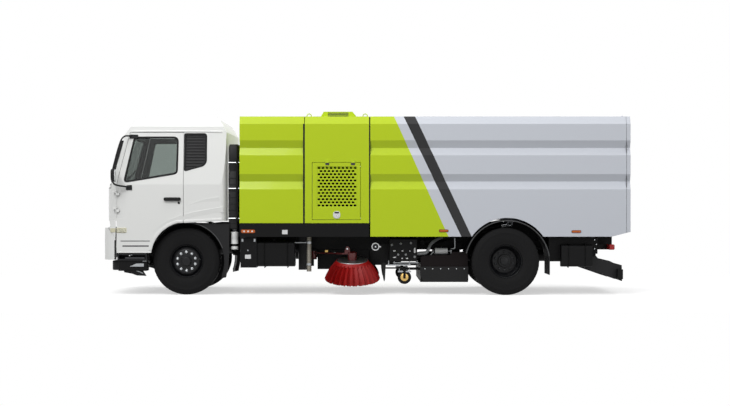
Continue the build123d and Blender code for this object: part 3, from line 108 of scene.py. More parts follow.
class Nodes:
    """A shader node tree, wired by words."""

    def __init__(self, tree: bpy.types.NodeTree) -> None:
        self.nodes, self.links = tree.nodes, tree.links

    def add(self, kind: str, label: str, inputs: dict | None = None, **settings) -> bpy.types.Node:
        """Adds a shader node.

        Args:
            kind: the node's type without its ShaderNode prefix.
            label: what the node does, in words.
            inputs: constants or sockets by the input's name or number.
            settings: the node's own properties.

        Returns:
            The node.
        """
        made = self.nodes.new("ShaderNode" + kind)
        made.label = label
        for key, value in settings.items():
            setattr(made, key, value)
        for key, value in (inputs or {}).items():
            self.feed(made.inputs[key], value)
        return made

    def feed(self, socket: bpy.types.NodeSocket, value: Feed) -> None:
        """Puts a constant on a socket, or links another socket to it."""
        if isinstance(value, bpy.types.NodeSocket):
            self.links.new(value, socket)
        else:
            socket.default_value = value

    def math(self, operation: str, label: str, first: Feed, second: Feed = 0.0,
             third: Feed = 0.0) -> bpy.types.NodeSocket:
        """The result of one Math node on constants or sockets."""
        made = self.add("Math", label, {0: first, 1: second, 2: third}, operation=operation)
        return made.outputs[0]

    def mixed(self, label: str, share: Feed, first: Feed, second: Feed) -> bpy.types.NodeSocket:
        """Two colours mixed by a share, which is a constant or a socket."""
        made = self.add("Mix", label, data_type="RGBA")
        for socket, value in zip((made.inputs[0], made.inputs[6], made.inputs[7]), (share, first, second)):
            self.feed(socket, value)
        return made.outputs[2]

    def shown(self) -> bpy.types.NodeSocket:
        """1 for rays that show the surroundings: to the camera, in gloss and through glass."""
        path = self.add("LightPath", "kind of ray").outputs
        gloss = self.math("MAXIMUM", "camera or gloss", path["Is Camera Ray"], path["Is Glossy Ray"])
        return self.math("MAXIMUM", "or through glass", gloss, path["Is Transmission Ray"])


class Tree(Nodes):
    """The shader nodes of one material, starting with its Principled surface."""

    def __init__(self, name: str) -> None:
        self.material = bpy.data.materials.new(name)
        self.material.use_nodes = True
        super().__init__(self.material.node_tree)
        self.surface = self.nodes["Principled BSDF"]
        self.place = self.add("TexCoord", "place on the piece").outputs["Object"]

    def noise(self, label: str, size_mm: float, detail: float = 2.0) -> bpy.types.NodeSocket:
        """Cloudy grey values whose lumps are about size_mm across."""
        made = self.add("TexNoise", label, {"Vector": self.place, "Scale": 1000 / size_mm, "Detail": detail})
        return made.outputs["Fac"]

    def set(self, **inputs: Feed) -> None:
        """Puts constants or sockets on the surface, by the inputs' names with _ for a space."""
        for key, value in inputs.items():
            self.feed(self.surface.inputs[key.replace("_", " ")], value)


@dataclass(frozen=True)
class Finish:
    """A surface finish: a colour with its sheen, a fine relief and a drift of tone.

    Attributes:
        name: the material and how it is made or coated.
        colour: sRGB code.
        roughness: 0 mirror, 1 chalk.
        metallic: 1 for bare metal.
        coat: weight of a clear coat over the colour.
        grain_mm: size of the relief's lumps on the real piece.
        grain_depth: strength of that relief.
        drift: how far the tone wanders over the piece.
        edge_mm: radius that the light sees on sharp edges.
        gloss: reflection straight on, 0.5 for a plain glossy surface and less for porous or dusty ones.
    """

    name: str
    colour: str
    roughness: float
    metallic: float = 0.0
    coat: float = 0.0
    grain_mm: float = 1.0
    grain_depth: float = 0.0
    drift: float = 0.0
    edge_mm: float = 3.0
    gloss: float = 0.5

    def material(self) -> bpy.types.Material:
        """This finish as a material, made once."""
        found = bpy.data.materials.get(self.name)
        if found is None:
            tree = Tree(self.name)
            self.dress(tree)
            found = tree.material
        return found

    def dress(self, tree: Tree) -> None:
        """Sets the surface and wires colour and relief to it."""
        tree.set(Roughness=self.roughness, Metallic=self.metallic, Coat_Weight=self.coat, Coat_Roughness=0.06,
                 Specular_IOR_Level=self.gloss, Base_Color=self.tone(tree))
        edge = tree.add("Bevel", "worn edges", {"Radius": self.edge_mm / 1000}, samples=4).outputs[0]
        if self.grain_depth:
            lumps = tree.noise("relief", self.grain_mm)
            relief = {"Strength": self.grain_depth, "Distance": self.grain_mm / 1000, "Height": lumps, "Normal": edge}
            edge = tree.add("Bump", "relief", relief).outputs[0]
        tree.set(Normal=edge)

    def tone(self, tree: Tree) -> Feed:
        """The colour, wandering a little over the piece where drift is set."""
        if not self.drift:
            return linear(self.colour)
        clouds = tree.noise("drift of tone", 260, 4)
        dark = tuple(c * (1 - self.drift) for c in linear(self.colour)[:3]) + (1.0,)
        return tree.mixed("drift of tone", clouds, dark, linear(self.colour))


@dataclass(frozen=True)
class LinedFinish(Finish):
    """A cab's skin: enamel outside, and the trim's colour on faces that look into the cab."""

    lining: str = "#4a4b4e"
    centre: Point = (-3.15, 0.0, 1.95)

    def tone(self, tree: Tree) -> Feed:
        """Colours each face by whether its normal points at the cab's middle."""
        out = tree.add("VectorMath", "from the cab's middle", {0: tree.place, 1: self.centre}, operation="SUBTRACT")
        normal = tree.add("TexCoord", "face direction").outputs["Normal"]
        along = tree.add("VectorMath", "looks outwards", {0: out.outputs[0], 1: normal}, operation="DOT_PRODUCT")
        inside = tree.math("LESS_THAN", "looks into the cab", along.outputs["Value"], 0.0)
        return tree.mixed("enamel outside, trim inside", inside, Finish.tone(self, tree), linear(self.lining))


@dataclass(frozen=True)
class Band:
    """A slanted edge on the hopper's side, behind which its colour starts."""

    x_top: float
    x_low: float
    colour: str


@dataclass(frozen=True)
class Livery(Finish):
    """Sprayed bands that cross a body at a slant, each masked along a straight line between two heights."""

    bands: tuple[Band, ...] = ()
    top: float = 2.792
    low: float = 0.915

    def tone(self, tree: Tree) -> Feed:
        """Lays each band's colour over the ones in front of its edge."""
        parts = tree.add("SeparateXYZ", "along and up", {0: tree.place})
        colour = linear(self.colour)
        for band in self.bands:
            slope = (band.x_top - band.x_low) / (self.top - self.low)
            line = tree.math("MULTIPLY_ADD", "masking line", parts.outputs["Z"], slope, band.x_top - slope * self.top)
            behind = tree.math("GREATER_THAN", "behind the line", parts.outputs["X"], line)
            colour = tree.mixed("next band", behind, colour, linear(band.colour))
        return colour


@dataclass(frozen=True)
class Glazing(Finish):
    """Clear or tinted glass and plastic that light passes through."""

    clear: float = 1.0
    index: float = 1.45

    def dress(self, tree: Tree) -> None:
        """Sets a thin transmitting surface."""
        tree.set(Roughness=self.roughness, Transmission_Weight=self.clear, IOR=self.index,
                 Base_Color=linear(self.colour))


@dataclass(frozen=True)
class Fabric(Finish):
    """Woven seat cloth: a fine two-way weave in relief and in tone."""

    thread_mm: float = 3.0  # drawn coarser than the real 1 mm so that it shows

    def tone(self, tree: Tree) -> Feed:
        """Crosses two wave patterns for warp and weft."""
        waves = [tree.add("TexWave", "threads " + axis, {"Vector": tree.place, "Scale": 1000 / self.thread_mm / 6,
                                                           "Distortion": 1.5}, bands_direction=axis).outputs["Fac"]
                 for axis in ("Y", "Z")]
        both = tree.math("MULTIPLY", "warp over weft", *waves)
        dark = tuple(c * 0.5 for c in linear(self.colour)[:3]) + (1.0,)
        return tree.mixed("thread shadow", both, dark, linear(self.colour))


# a clear coat over solid colour gives sharp window-like highlights on an even body
WHITE_ENAMEL = Finish("white enamel, sprayed and clear coated", "#e3e4e2", 0.32, coat=0.5, drift=0.03)
CAB_ENAMEL = LinedFinish("white cab enamel over moulded trim", "#e3e4e2", 0.32, coat=0.5)
LIME_ENAMEL = Finish("lime enamel, sprayed", "#b6cd0e", 0.36, coat=0.15, drift=0.03, edge_mm=5.0, gloss=0.3)
SILVER = "#c8ccd4"
STRIPES = (Band(0.430, 1.278, SILVER), Band(0.579, 1.479, "#1c1c1e"), Band(0.758, 1.639, SILVER))
HOPPER_LIVERY = Livery("lime, silver and black enamel, masked and sprayed", "#b6cd0e", 0.36, coat=0.15,
                       bands=STRIPES, edge_mm=5.0, gloss=0.3)
# chassis black is sprayed thin, so it stays satin and slightly pebbled
CHASSIS_BLACK = Finish("chassis black, sprayed satin", "#080809", 0.5, grain_mm=3.0, grain_depth=0.08, drift=0.35,
                       gloss=0.14)
RED_ENAMEL = Finish("dark red enamel, brushed", "#5e0d0d", 0.42, coat=0.2, drift=0.25)
# mould grain breaks highlights into a dull sheen
BLACK_PLASTIC = Finish("black polypropylene, grain moulded", "#0f0f11", 0.52, grain_mm=1.2, grain_depth=0.18,
                       gloss=0.25)
TRIM = Finish("grey cab trim, grain moulded", "#3a3b3e", 0.62, grain_mm=1.0, grain_depth=0.2)
RUBBER = Finish("black sealing rubber, extruded", "#0a0a0b", 0.6, gloss=0.25)
TYRE_RUBBER = Finish("tyre rubber, vulcanised", "#0f0f10", 0.72, grain_mm=1.6, grain_depth=0.15, drift=0.25, gloss=0.16)
WHEEL_PAINT = Finish("dark wheel enamel, dipped", "#0e0f12", 0.38, drift=0.2, gloss=0.25)
BRIGHT_STEEL = Finish("bright steel, turned and polished", "#c4c7ca", 0.24, metallic=1.0, edge_mm=1.0)
ZINC = Finish("zinc plate, passivated", "#a6a9ac", 0.42, metallic=1.0, grain_mm=4.0, grain_depth=0.05, drift=0.2)
CAST_ALUMINIUM = Finish("cast aluminium, sand textured", "#d8dadb", 0.5, metallic=1.0, grain_mm=1.5, grain_depth=0.2)
BLACK_IRON = Finish("black iron, cast", "#0e0e10", 0.68, grain_mm=2.0, grain_depth=0.3, drift=0.3, gloss=0.2)
RED_BRISTLE = Finish("red nylon bristle, drawn", "#a8100e", 0.5, drift=0.45, gloss=0.3, edge_mm=0.5)
DARK_GLASS = Glazing("tinted safety glass, rolled", "#aeb6b2", 0.0)
CLEAR_LENS = Glazing("clear lamp lens, moulded", "#f2f4f4", 0.03, clear=0.85)
AMBER_LENS = Glazing("amber lamp lens, moulded", "#e06a10", 0.15, clear=0.35)
RED_LENS = Glazing("red lamp lens, moulded", "#b51414", 0.15, clear=0.3)
MIRROR_GLASS = Finish("silvered mirror glass", "#e8eaec", 0.03, metallic=1.0)
PALE_PLATE = Finish("pale enamelled plate, blank", "#d9dadb", 0.4)
GREY_PLASTIC = Finish("grey plastic, moulded", "#8b8d8f", 0.5, grain_mm=1.2, grain_depth=0.1)
# charcoal plastic; on the door it is also painted shade, where the step grooves lie in shadow
CHARCOAL_AND_GROOVE_SHADE = Finish("charcoal plastic, moulded", "#2f3033", 0.55, grain_mm=1.2, grain_depth=0.1)
LAMP_RIM = Finish("pale lamp rim plastic, moulded and yellowed", "#cdc9ae", 0.45)
SILVER_ENAMEL = Finish("silver enamel, sprayed", SILVER, 0.34, coat=0.35)
# a darker, duller steel than the front nuts' bright steel, for the twin wheels' nuts
DARK_NUT_STEEL = Finish("wheel nut steel, darker and duller", "#45464a", 0.55, metallic=0.4, drift=0.3)
BRASS = Finish("brass fitting, turned", "#c9a866", 0.35, metallic=1.0, edge_mm=1.0)
# rain and grit weather the pipe to a brownish grey whose tone drifts in broad patches
WEATHERED_STEEL = Finish("galvanised pipe, weathered", "#8f8a80", 0.55, metallic=0.6, grain_mm=9.0, grain_depth=0.2,
                         drift=0.45)
BROWN_RUBBER = Finish("brown reinforced rubber sheet, calendered", "#100a0b", 0.7, gloss=0.14, grain_mm=3.0,
                      grain_depth=0.1)
GREY_RUBBER = Finish("grey rubber edging, extruded", "#3a3b3c", 0.6)
SEAT_CLOTH = Fabric("seat cloth, woven", "#34363b", 0.9)
COVER_CLOTH = Fabric("pale headrest cover, woven", "#d8d8d4", 0.9)
SLOT_FINISH = {
    "white_paint": WHITE_ENAMEL, "green_paint": LIME_ENAMEL, "silver_paint": HOPPER_LIVERY,
    "chassis_paint": CHASSIS_BLACK, "red_paint": RED_ENAMEL, "black_plastic": BLACK_PLASTIC, "cab_plastic": TRIM,
    "bristle": RED_BRISTLE, "seat_fabric": SEAT_CLOTH, "tyre_rubber": TYRE_RUBBER, "wheel_paint": WHEEL_PAINT,
    "lamp_clear": CLEAR_LENS, "lamp_red": RED_LENS, "window_glass": DARK_GLASS, "bright_steel": BRIGHT_STEEL,
    "zinc": ZINC, "cast_aluminium": CAST_ALUMINIUM, "black_iron": BLACK_IRON,
}
NODE_FINISH = {"cab_shell": CAB_ENAMEL, "door_left": CAB_ENAMEL, "door_right": CAB_ENAMEL, "rungs": CHASSIS_BLACK}


# ---- surfaces -------------------------------------------------------------------------------------------------
def rays(turn: Array) -> Array:
    """Points of the unit circle at the given angles, as (n, 2)."""
    return np.stack([np.cos(turn), np.sin(turn)], 1)


def circle(radius: float, count: int = 16) -> Array:
    """Points of a circle as (count, 2)."""
    return radius * rays(np.arange(count) / count * TAU)


def on_wall(flat: Sequence, y: float) -> Array:
    """(x, z) points on the upright plane along the truck at y."""
    flat = np.asarray(flat, float)
    return np.insert(flat, 1, y, axis=1)


def on_cut(flat: Sequence, x: float) -> Array:
    """(y, z) points on the upright plane across the truck at x."""
    flat = np.asarray(flat, float)
    return np.insert(flat, 0, x, axis=1)


def levels(rows: Sequence[tuple[Array, float]]) -> Array:
    """Flat rings, each at its own height, as (rows, points, 3)."""
    return np.stack([np.insert(ring, 2, z, axis=1) for ring, z in rows])


def rounded(width: float, height: float, radius: float, steps: int = 4) -> Array:
    """Points of a rectangle with rounded corners, about its middle."""
    quarter = np.linspace(0, math.pi / 2, steps)
    turn = np.concatenate([quarter + k * math.pi / 2 for k in range(4)])
    corner = np.repeat([[1, 1], [-1, 1], [-1, -1], [1, -1]], steps, axis=0)
    middle = corner * [width / 2 - radius, height / 2 - radius]
    return middle + radius * rays(turn)


def smooth(points: Sequence[Sequence[float]], count: int, closed: bool = False) -> Array:
    """A Catmull-Rom curve through points: each span blends the lines through its neighbours by cubic weights."""
    p = np.asarray(points, float)
    ends = (p[-1:], p[:2]) if closed else (2 * p[:1] - p[1:2], 2 * p[-1:] - p[-2:-1])
    q = np.concatenate([ends[0], p, ends[1]])
    spans = len(p) if closed else len(p) - 1
    t = np.linspace(0, spans, count, endpoint=not closed)
    k = np.minimum(t.astype(int), spans - 1)
    u = (t - k)[:, None]
    a, b, c, d = q[k], q[k + 1], q[k + 2], q[k + 3]
    return 0.5 * (2 * b + (c - a) * u + (2 * a - 5 * b + 4 * c - d) * u**2 + (3 * b - a - 3 * c + d) * u**3)


def rounded_path(corners: Sequence[Sequence[float]], radii: float | Sequence[float], steps: int = 7) -> Array:
    """Corner points of a closed line joined by arcs, each a quadratic blend between its two tangent points."""
    p = np.asarray(corners, float)
    r = np.broadcast_to(np.asarray(radii, float), len(p))[:, None]
    before, after = np.roll(p, 1, 0) - p, np.roll(p, -1, 0) - p
    before = before / np.linalg.norm(before, axis=1, keepdims=True)
    after = after / np.linalg.norm(after, axis=1, keepdims=True)
    half = np.arccos(np.clip((before * after).sum(1, keepdims=True), -1, 1)) / 2
    reach = r / np.tan(half)
    t = np.linspace(0, 1, steps)[None, :, None]
    start, end = (p + before * reach)[:, None], (p + after * reach)[:, None]
    return ((1 - t) ** 2 * start + 2 * t * (1 - t) * p[:, None] + t**2 * end).reshape(-1, p.shape[1])


def arc_through(a: Point, b: Point, c: Point, count: int, wider: float = 0.0) -> Array:
    """Points of the circle through three (x, z) points, from the first to the last, on a radius grown by wider."""
    p = np.array([a, b, c], float)
    centre = np.linalg.solve(2 * (p[1:] - p[0]), (p[1:] ** 2 - p[0] ** 2).sum(1))
    radius = np.linalg.norm(p[0] - centre) + wider
    turn = np.unwrap(np.arctan2(p[:, 1] - centre[1], p[:, 0] - centre[0]))
    return centre + radius * rays(np.linspace(turn[0], turn[-1], count))


def facing(origin: Point, out: Point = LEFTWARD, up: Point = UPWARD) -> Array:
    """A 4x4 placement whose local Z points along out and whose local Y leans to up."""
    z = np.array(out, float) / np.linalg.norm(out)
    x = np.cross(up, z)
    x = x / np.linalg.norm(x)
    made = np.eye(4)
    made[:3] = np.stack([x, np.cross(z, x), z, np.array(origin, float)], 1)
    return made


class Skin:
    """A mesh gathered from surfaces: its points, faces and the number of each face's finish."""

    def __init__(self) -> None:
        self.points: list[Array] = []
        self.faces: list[list[int]] = []
        self.paints: list[int] = []
        self.count = 0

    def take(self, points: Array, faces: Iterable[Sequence[int]], paint: int = 0) -> "Skin":
        """Adds points and the faces over them."""
        added = [[index + self.count for index in face] for face in faces]
        self.points.append(np.asarray(points, float).reshape(-1, 3))
        self.faces += added
        self.paints += [paint] * len(added)
        self.count += len(self.points[-1])
        return self

    def grid(self, points: Array, wrap: tuple[bool, bool] = (False, False), paint: int = 0,
             caps: bool = False) -> "Skin":
        """Adds a surface given as rows of points.

        Args:
            points: (rows, columns, 3).
            wrap: whether the last row, and the last column, joins the first.
            paint: number of its finish.
            caps: whether the first and last rows are closed by a face each.

        Returns:
            This skin.
        """
        rows, columns = points.shape[:2]
        i = np.arange(rows - (not wrap[0]))[:, None]
        j = np.arange(columns - (not wrap[1]))[None]
        i2, j2 = (i + 1) % rows, (j + 1) % columns
        quads = np.stack([i * columns + j, i2 * columns + j, i2 * columns + j2, i * columns + j2], -1)
        faces = quads.reshape(-1, 4).tolist()
        if caps:
            faces += [list(range(columns)), list(range((rows - 1) * columns, rows * columns))]
        return self.take(points, faces, paint)

    def solid(self, rings: Array, paint: int = 0) -> "Skin":
        """Adds a form given as rings of points, with a face over its first and its last ring."""
        return self.grid(rings, (False, True), paint, caps=True)

    def sheet(self, outline: Sequence, y: float, depth: float, edge: float = 0.002, paint: int = 0) -> "Skin":
        """A plate along the truck, from an (x, z) outline on the plane at y, with its depth to the left."""
        return self.prism(outline, facing((0.0, y, 0.0)), depth, edge, paint)

    def lathe(self, profile: Sequence[Sequence[float]], centre: Point, out: Point = LEFTWARD,
              turns: int = 48, paint: int = 0) -> "Skin":
        """Turns (radius, distance along out) pairs about the line through centre."""
        p = np.asarray(profile, float)
        turn = np.arange(turns)[:, None] / turns * TAU
        local = np.stack([p[:, 0] * np.cos(turn), p[:, 0] * np.sin(turn), p[:, 1] + 0 * turn], -1)
        return self.grid(placed(local, facing(centre, out, (1.0, 0.0, 0.013))), (True, False), paint)

    def sweep(self, section: Sequence, path: Sequence, closed: bool = False, up: Sequence = UPWARD,
              paint: int = 0, scale: Array | None = None) -> "Skin":
        """Carries a flat section along a path; its first axis lies across the path and up, the second along up.

        Args:
            section: (n, 2), closed.
            path: (m, 3).
            closed: whether the path joins up.
            up: direction that the second axis stays nearest to.
            paint: number of its finish.
            scale: size of the section at each point of the path.

        Returns:
            This skin.
        """
        path = np.asarray(path, float)
        ahead = np.roll(path, -1, 0) - np.roll(path, 1, 0)
        if not closed:
            ahead[0], ahead[-1] = path[1] - path[0], path[-1] - path[-2]
        ahead = ahead / np.linalg.norm(ahead, axis=1, keepdims=True)
        across = np.cross(ahead, up)
        across = across / np.linalg.norm(across, axis=1, keepdims=True)
        top = np.cross(across, ahead)
        size = np.ones(len(path)) if scale is None else scale
        cut = np.asarray(section, float)[None] * size[:, None, None]
        points = path[:, None] + cut[..., :1] * across[:, None] + cut[..., 1:] * top[:, None]
        return self.grid(points, (closed, True), paint, caps=not closed)

    def tube(self, path: Sequence[Sequence[float]], radius: float, count: int = 0, sides: int = 12,
             paint: int = 0) -> "Skin":
        """A round bar or pipe along points, smoothed to count steps where that is given."""
        line = smooth(path, count) if count else np.asarray(path, float)
        run = np.ptp(line, axis=0)
        up = [UPWARD, RIGHTWARD][int(run[2] > 0.8 * np.linalg.norm(run))]
        return self.sweep(circle(radius, sides), line, up=up, paint=paint)

    def prism(self, outline: Array, place: Array, depth: float, edge: float = 0.002, paint: int = 0) -> "Skin":
        """A flat outline given depth along its placement's Z, with chamfered rims."""
        flat = np.asarray(outline, float)
        middle = flat.mean(0)
        reach = np.abs(flat - middle).max(0)
        small = middle + (flat - middle) * (1 - edge / np.maximum(reach, 2 * edge))
        local = levels([(small, 0.0), (flat, edge), (flat, depth - edge), (small, depth)])
        return self.solid(placed(local, place), paint)

    def loft(self, outline: Array, place: Array, steps: Sequence[Sequence[float]], paint: int = 0) -> "Skin":
        """An outline carried along its placement's Z and scaled about its middle at each (scale, z) step."""
        flat = np.asarray(outline, float)
        middle = flat.mean(0)
        local = levels([(middle + (flat - middle) * max(scale, 1e-4), z) for scale, z in steps])
        return self.solid(placed(local, place), paint)

    def slab(self, low: Point, high: Point, edge: float = 0.003, paint: int = 0) -> "Skin":
        """A block between two corners with rounded upright edges and chamfered rims."""
        lo, hi = np.minimum(low, high), np.maximum(low, high)
        place = np.eye(4)
        place[:3, 3] = [(lo[0] + hi[0]) / 2, (lo[1] + hi[1]) / 2, lo[2]]
        size = hi - lo
        edge = min(edge, 0.3 * size.min())
        return self.prism(rounded(size[0], size[1], edge, 3), place, size[2], edge, paint)

    def copies(self, other: "Skin", places: Iterable[Array], paint: int = 0) -> "Skin":
        """Adds another skin at each placement."""
        points = np.concatenate(other.points)
        for place in places:
            self.take(placed(points, place), other.faces, paint)
        return self

    def mirrored(self) -> "Skin":
        """This skin for the truck's other side."""
        made = Skin()
        made.points = [points * [1, -1, 1] for points in self.points]
        made.faces, made.paints, made.count = self.faces, self.paints, self.count
        return made

    def on(self, side: Side) -> "Skin":
        """This left-hand skin as it stands on the given side."""
        return self if side is Side.LEFT else self.mirrored()

    def both(self) -> "Skin":
        """This skin together with its mirror image."""
        return self.add(self.mirrored())

    def add(self, other: "Skin") -> "Skin":
        """Takes in another skin as it stands."""
        base = self.count
        self.points += other.points
        self.faces += [[index + base for index in face] for face in other.faces]
        self.paints += other.paints
        self.count += other.count
        return self

    def build(self, name: str, body: str, slot: str, finishes: Sequence[Finish], replaces: Sequence[str] = (),
              angle: float = 38.0) -> bpy.types.Object:
        """Makes the Blender object, welds seams and poles, faces it outwards and lets it ride on its body.

        Args:
            name: the object's name.
            body: the CAD body it moves with.
            slot: the record's material slot; not used.
            finishes: finishes by their numbers.
            replaces: CAD nodes that it stands for.
            angle: edges sharper than this many degrees stay crisp.

        Returns:
            The object.
        """
        points = np.concatenate(self.points)
        if not np.isfinite(points).all():
            raise ValueError(f"{name} has points that are not numbers")
        mesh = bpy.data.meshes.new(name)
        mesh.from_pydata(points.tolist(), [], self.faces)
        mesh.polygons.foreach_set("material_index", np.array(self.paints, np.int32))
        mesh.polygons.foreach_set("use_smooth", np.ones(len(self.faces), bool))
        welded = bmesh.new()
        welded.from_mesh(mesh)
        bmesh.ops.remove_doubles(welded, verts=welded.verts, dist=1e-5)
        bmesh.ops.recalc_face_normals(welded, faces=welded.faces)
        welded.to_mesh(mesh)
        welded.free()
        mesh.set_sharp_from_angle(angle=math.radians(angle))
        for finish in finishes:
            mesh.materials.append(finish.material())
        made = bpy.data.objects.new(name, mesh)
        bpy.context.scene.collection.objects.link(made)
        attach(made, body)
        if replaces:
            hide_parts(*replaces)
        log.info("%s: %d faces on %s", name, len(mesh.polygons), body)
        return made


def placed(points: Array, place: Array) -> Array:
    """Points moved from a placement's own axes to the truck's."""
    return points @ place[:3, :3].T + place[:3, 3]


def shifted(x: float, y: float, z: float) -> Array:
    """A placement moved by x, y and z."""
    made = np.eye(4)
    made[:3, 3] = (x, y, z)
    return made


def ring_places(count: int, radius: float, centre: Point, out: Point, start: float = 0.0) -> Array:
    """Placements round a circle about out, each with local Z along out and local X outwards from the middle."""
    base = facing(centre, out, (1.0, 0.0, 0.013))
    turn = (np.arange(count) / count) * TAU + start
    cos, sin, zero, one = np.cos(turn), np.sin(turn), 0 * turn, 0 * turn + 1
    spin = np.stack([np.stack([cos, -sin, zero, radius * cos], 1), np.stack([sin, cos, zero, radius * sin], 1),
                     np.stack([zero, zero, one, zero], 1), np.stack([zero, zero, zero, one], 1)], 1)
    return base @ spin


# a pressed bead's section and a blank number plate's outline
BEAD = rounded(0.044, 0.012, 0.004, 3)
BLANK_PLATE = rounded(0.44, 0.14, 0.012, 4)


# ---- wheels ---------------------------------------------------------------------------------------------------
@dataclass(frozen=True)
class TyreSizes:
    """A 20 inch truck tyre: its tread's half width, groove depth, lugs and points round the tyre."""

    radius: float = TYRE_RADIUS
    tread_half: float = 0.106
    groove: float = 0.012
    groove_half: float = 0.0045
    groove_wander: float = 0.006
    groove_lines: tuple = (-0.066, -0.022, 0.022, 0.066)
    shoulder: float = 0.086
    notch_share: float = 0.28
    notch_depth: float = 0.8
    crown: float = 0.003
    lugs: int = 54
    around: int = 216


class Tyre:
    """A tyre as one surface: its section wraps from bead to bead while the tread pattern runs round it."""

    section = ((0.2560, -0.100), (0.266, -0.118), (0.290, -0.122), (0.300, -0.126), (0.340, -0.1335),
               (0.400, -0.1365), (0.440, -0.133), (0.444, -0.1345), (0.452, -0.1325), (0.485, -0.122),
               (0.505, -0.114), (0.517, -0.109))

    def __init__(self, sizes: TyreSizes = TyreSizes()) -> None:
        self.sizes = sizes

    def skin(self, x: float, y: float) -> Skin:
        """The tyre about an axle along Y.

        The tread's height falls by the groove depth where |y| is near one of four ribs' gaps, whose middle
        wanders with a triangle wave round the tyre, and where a shoulder notch crosses.
        """
        s = self.sizes
        half = np.array(self.section)
        tread = np.linspace(-s.tread_half, s.tread_half, 45)
        wall_radius = np.concatenate([half[:, 0], np.full(45, s.radius), half[::-1, 0]])
        across = np.concatenate([half[:, 1], tread, -half[::-1, 1]])
        turn = np.arange(s.around)[:, None] / s.around * TAU
        wave = np.abs((turn / TAU * s.lugs * 2) % 2 - 1) - 0.5
        on_tread = (np.abs(across) <= s.tread_half) & (wall_radius == s.radius)
        depth = np.zeros((s.around, len(across)))
        for middle in s.groove_lines:
            gap = np.abs(across[None] - middle - s.groove_wander * wave)
            depth = np.maximum(depth, s.groove * (gap < s.groove_half))
        notch = (np.abs(across[None]) > s.shoulder) & (((turn / TAU * s.lugs) % 1) < s.notch_share)
        depth = np.maximum(depth, s.notch_depth * s.groove * notch) * on_tread
        crown = s.crown * (across / s.tread_half) ** 2 * on_tread
        radius = wall_radius[None] - depth - crown[None]
        points = np.stack([x + radius * np.sin(turn), y + np.broadcast_to(across, radius.shape),
                           s.radius + radius * np.cos(turn)], -1)
        return Skin().grid(points, (True, False))


@dataclass(frozen=True)
class HubSizes:
    """Where a wheel's disc and nuts lie, outwards from the middle of its rim or pair of rims."""

    y: float
    face: float
    nut: float
    hub_out: float
    bolt_circle: float
    hole_out: float
    hole_lean: float
    nut_circle: float = 0.145
    hole_circle: float = 0.206


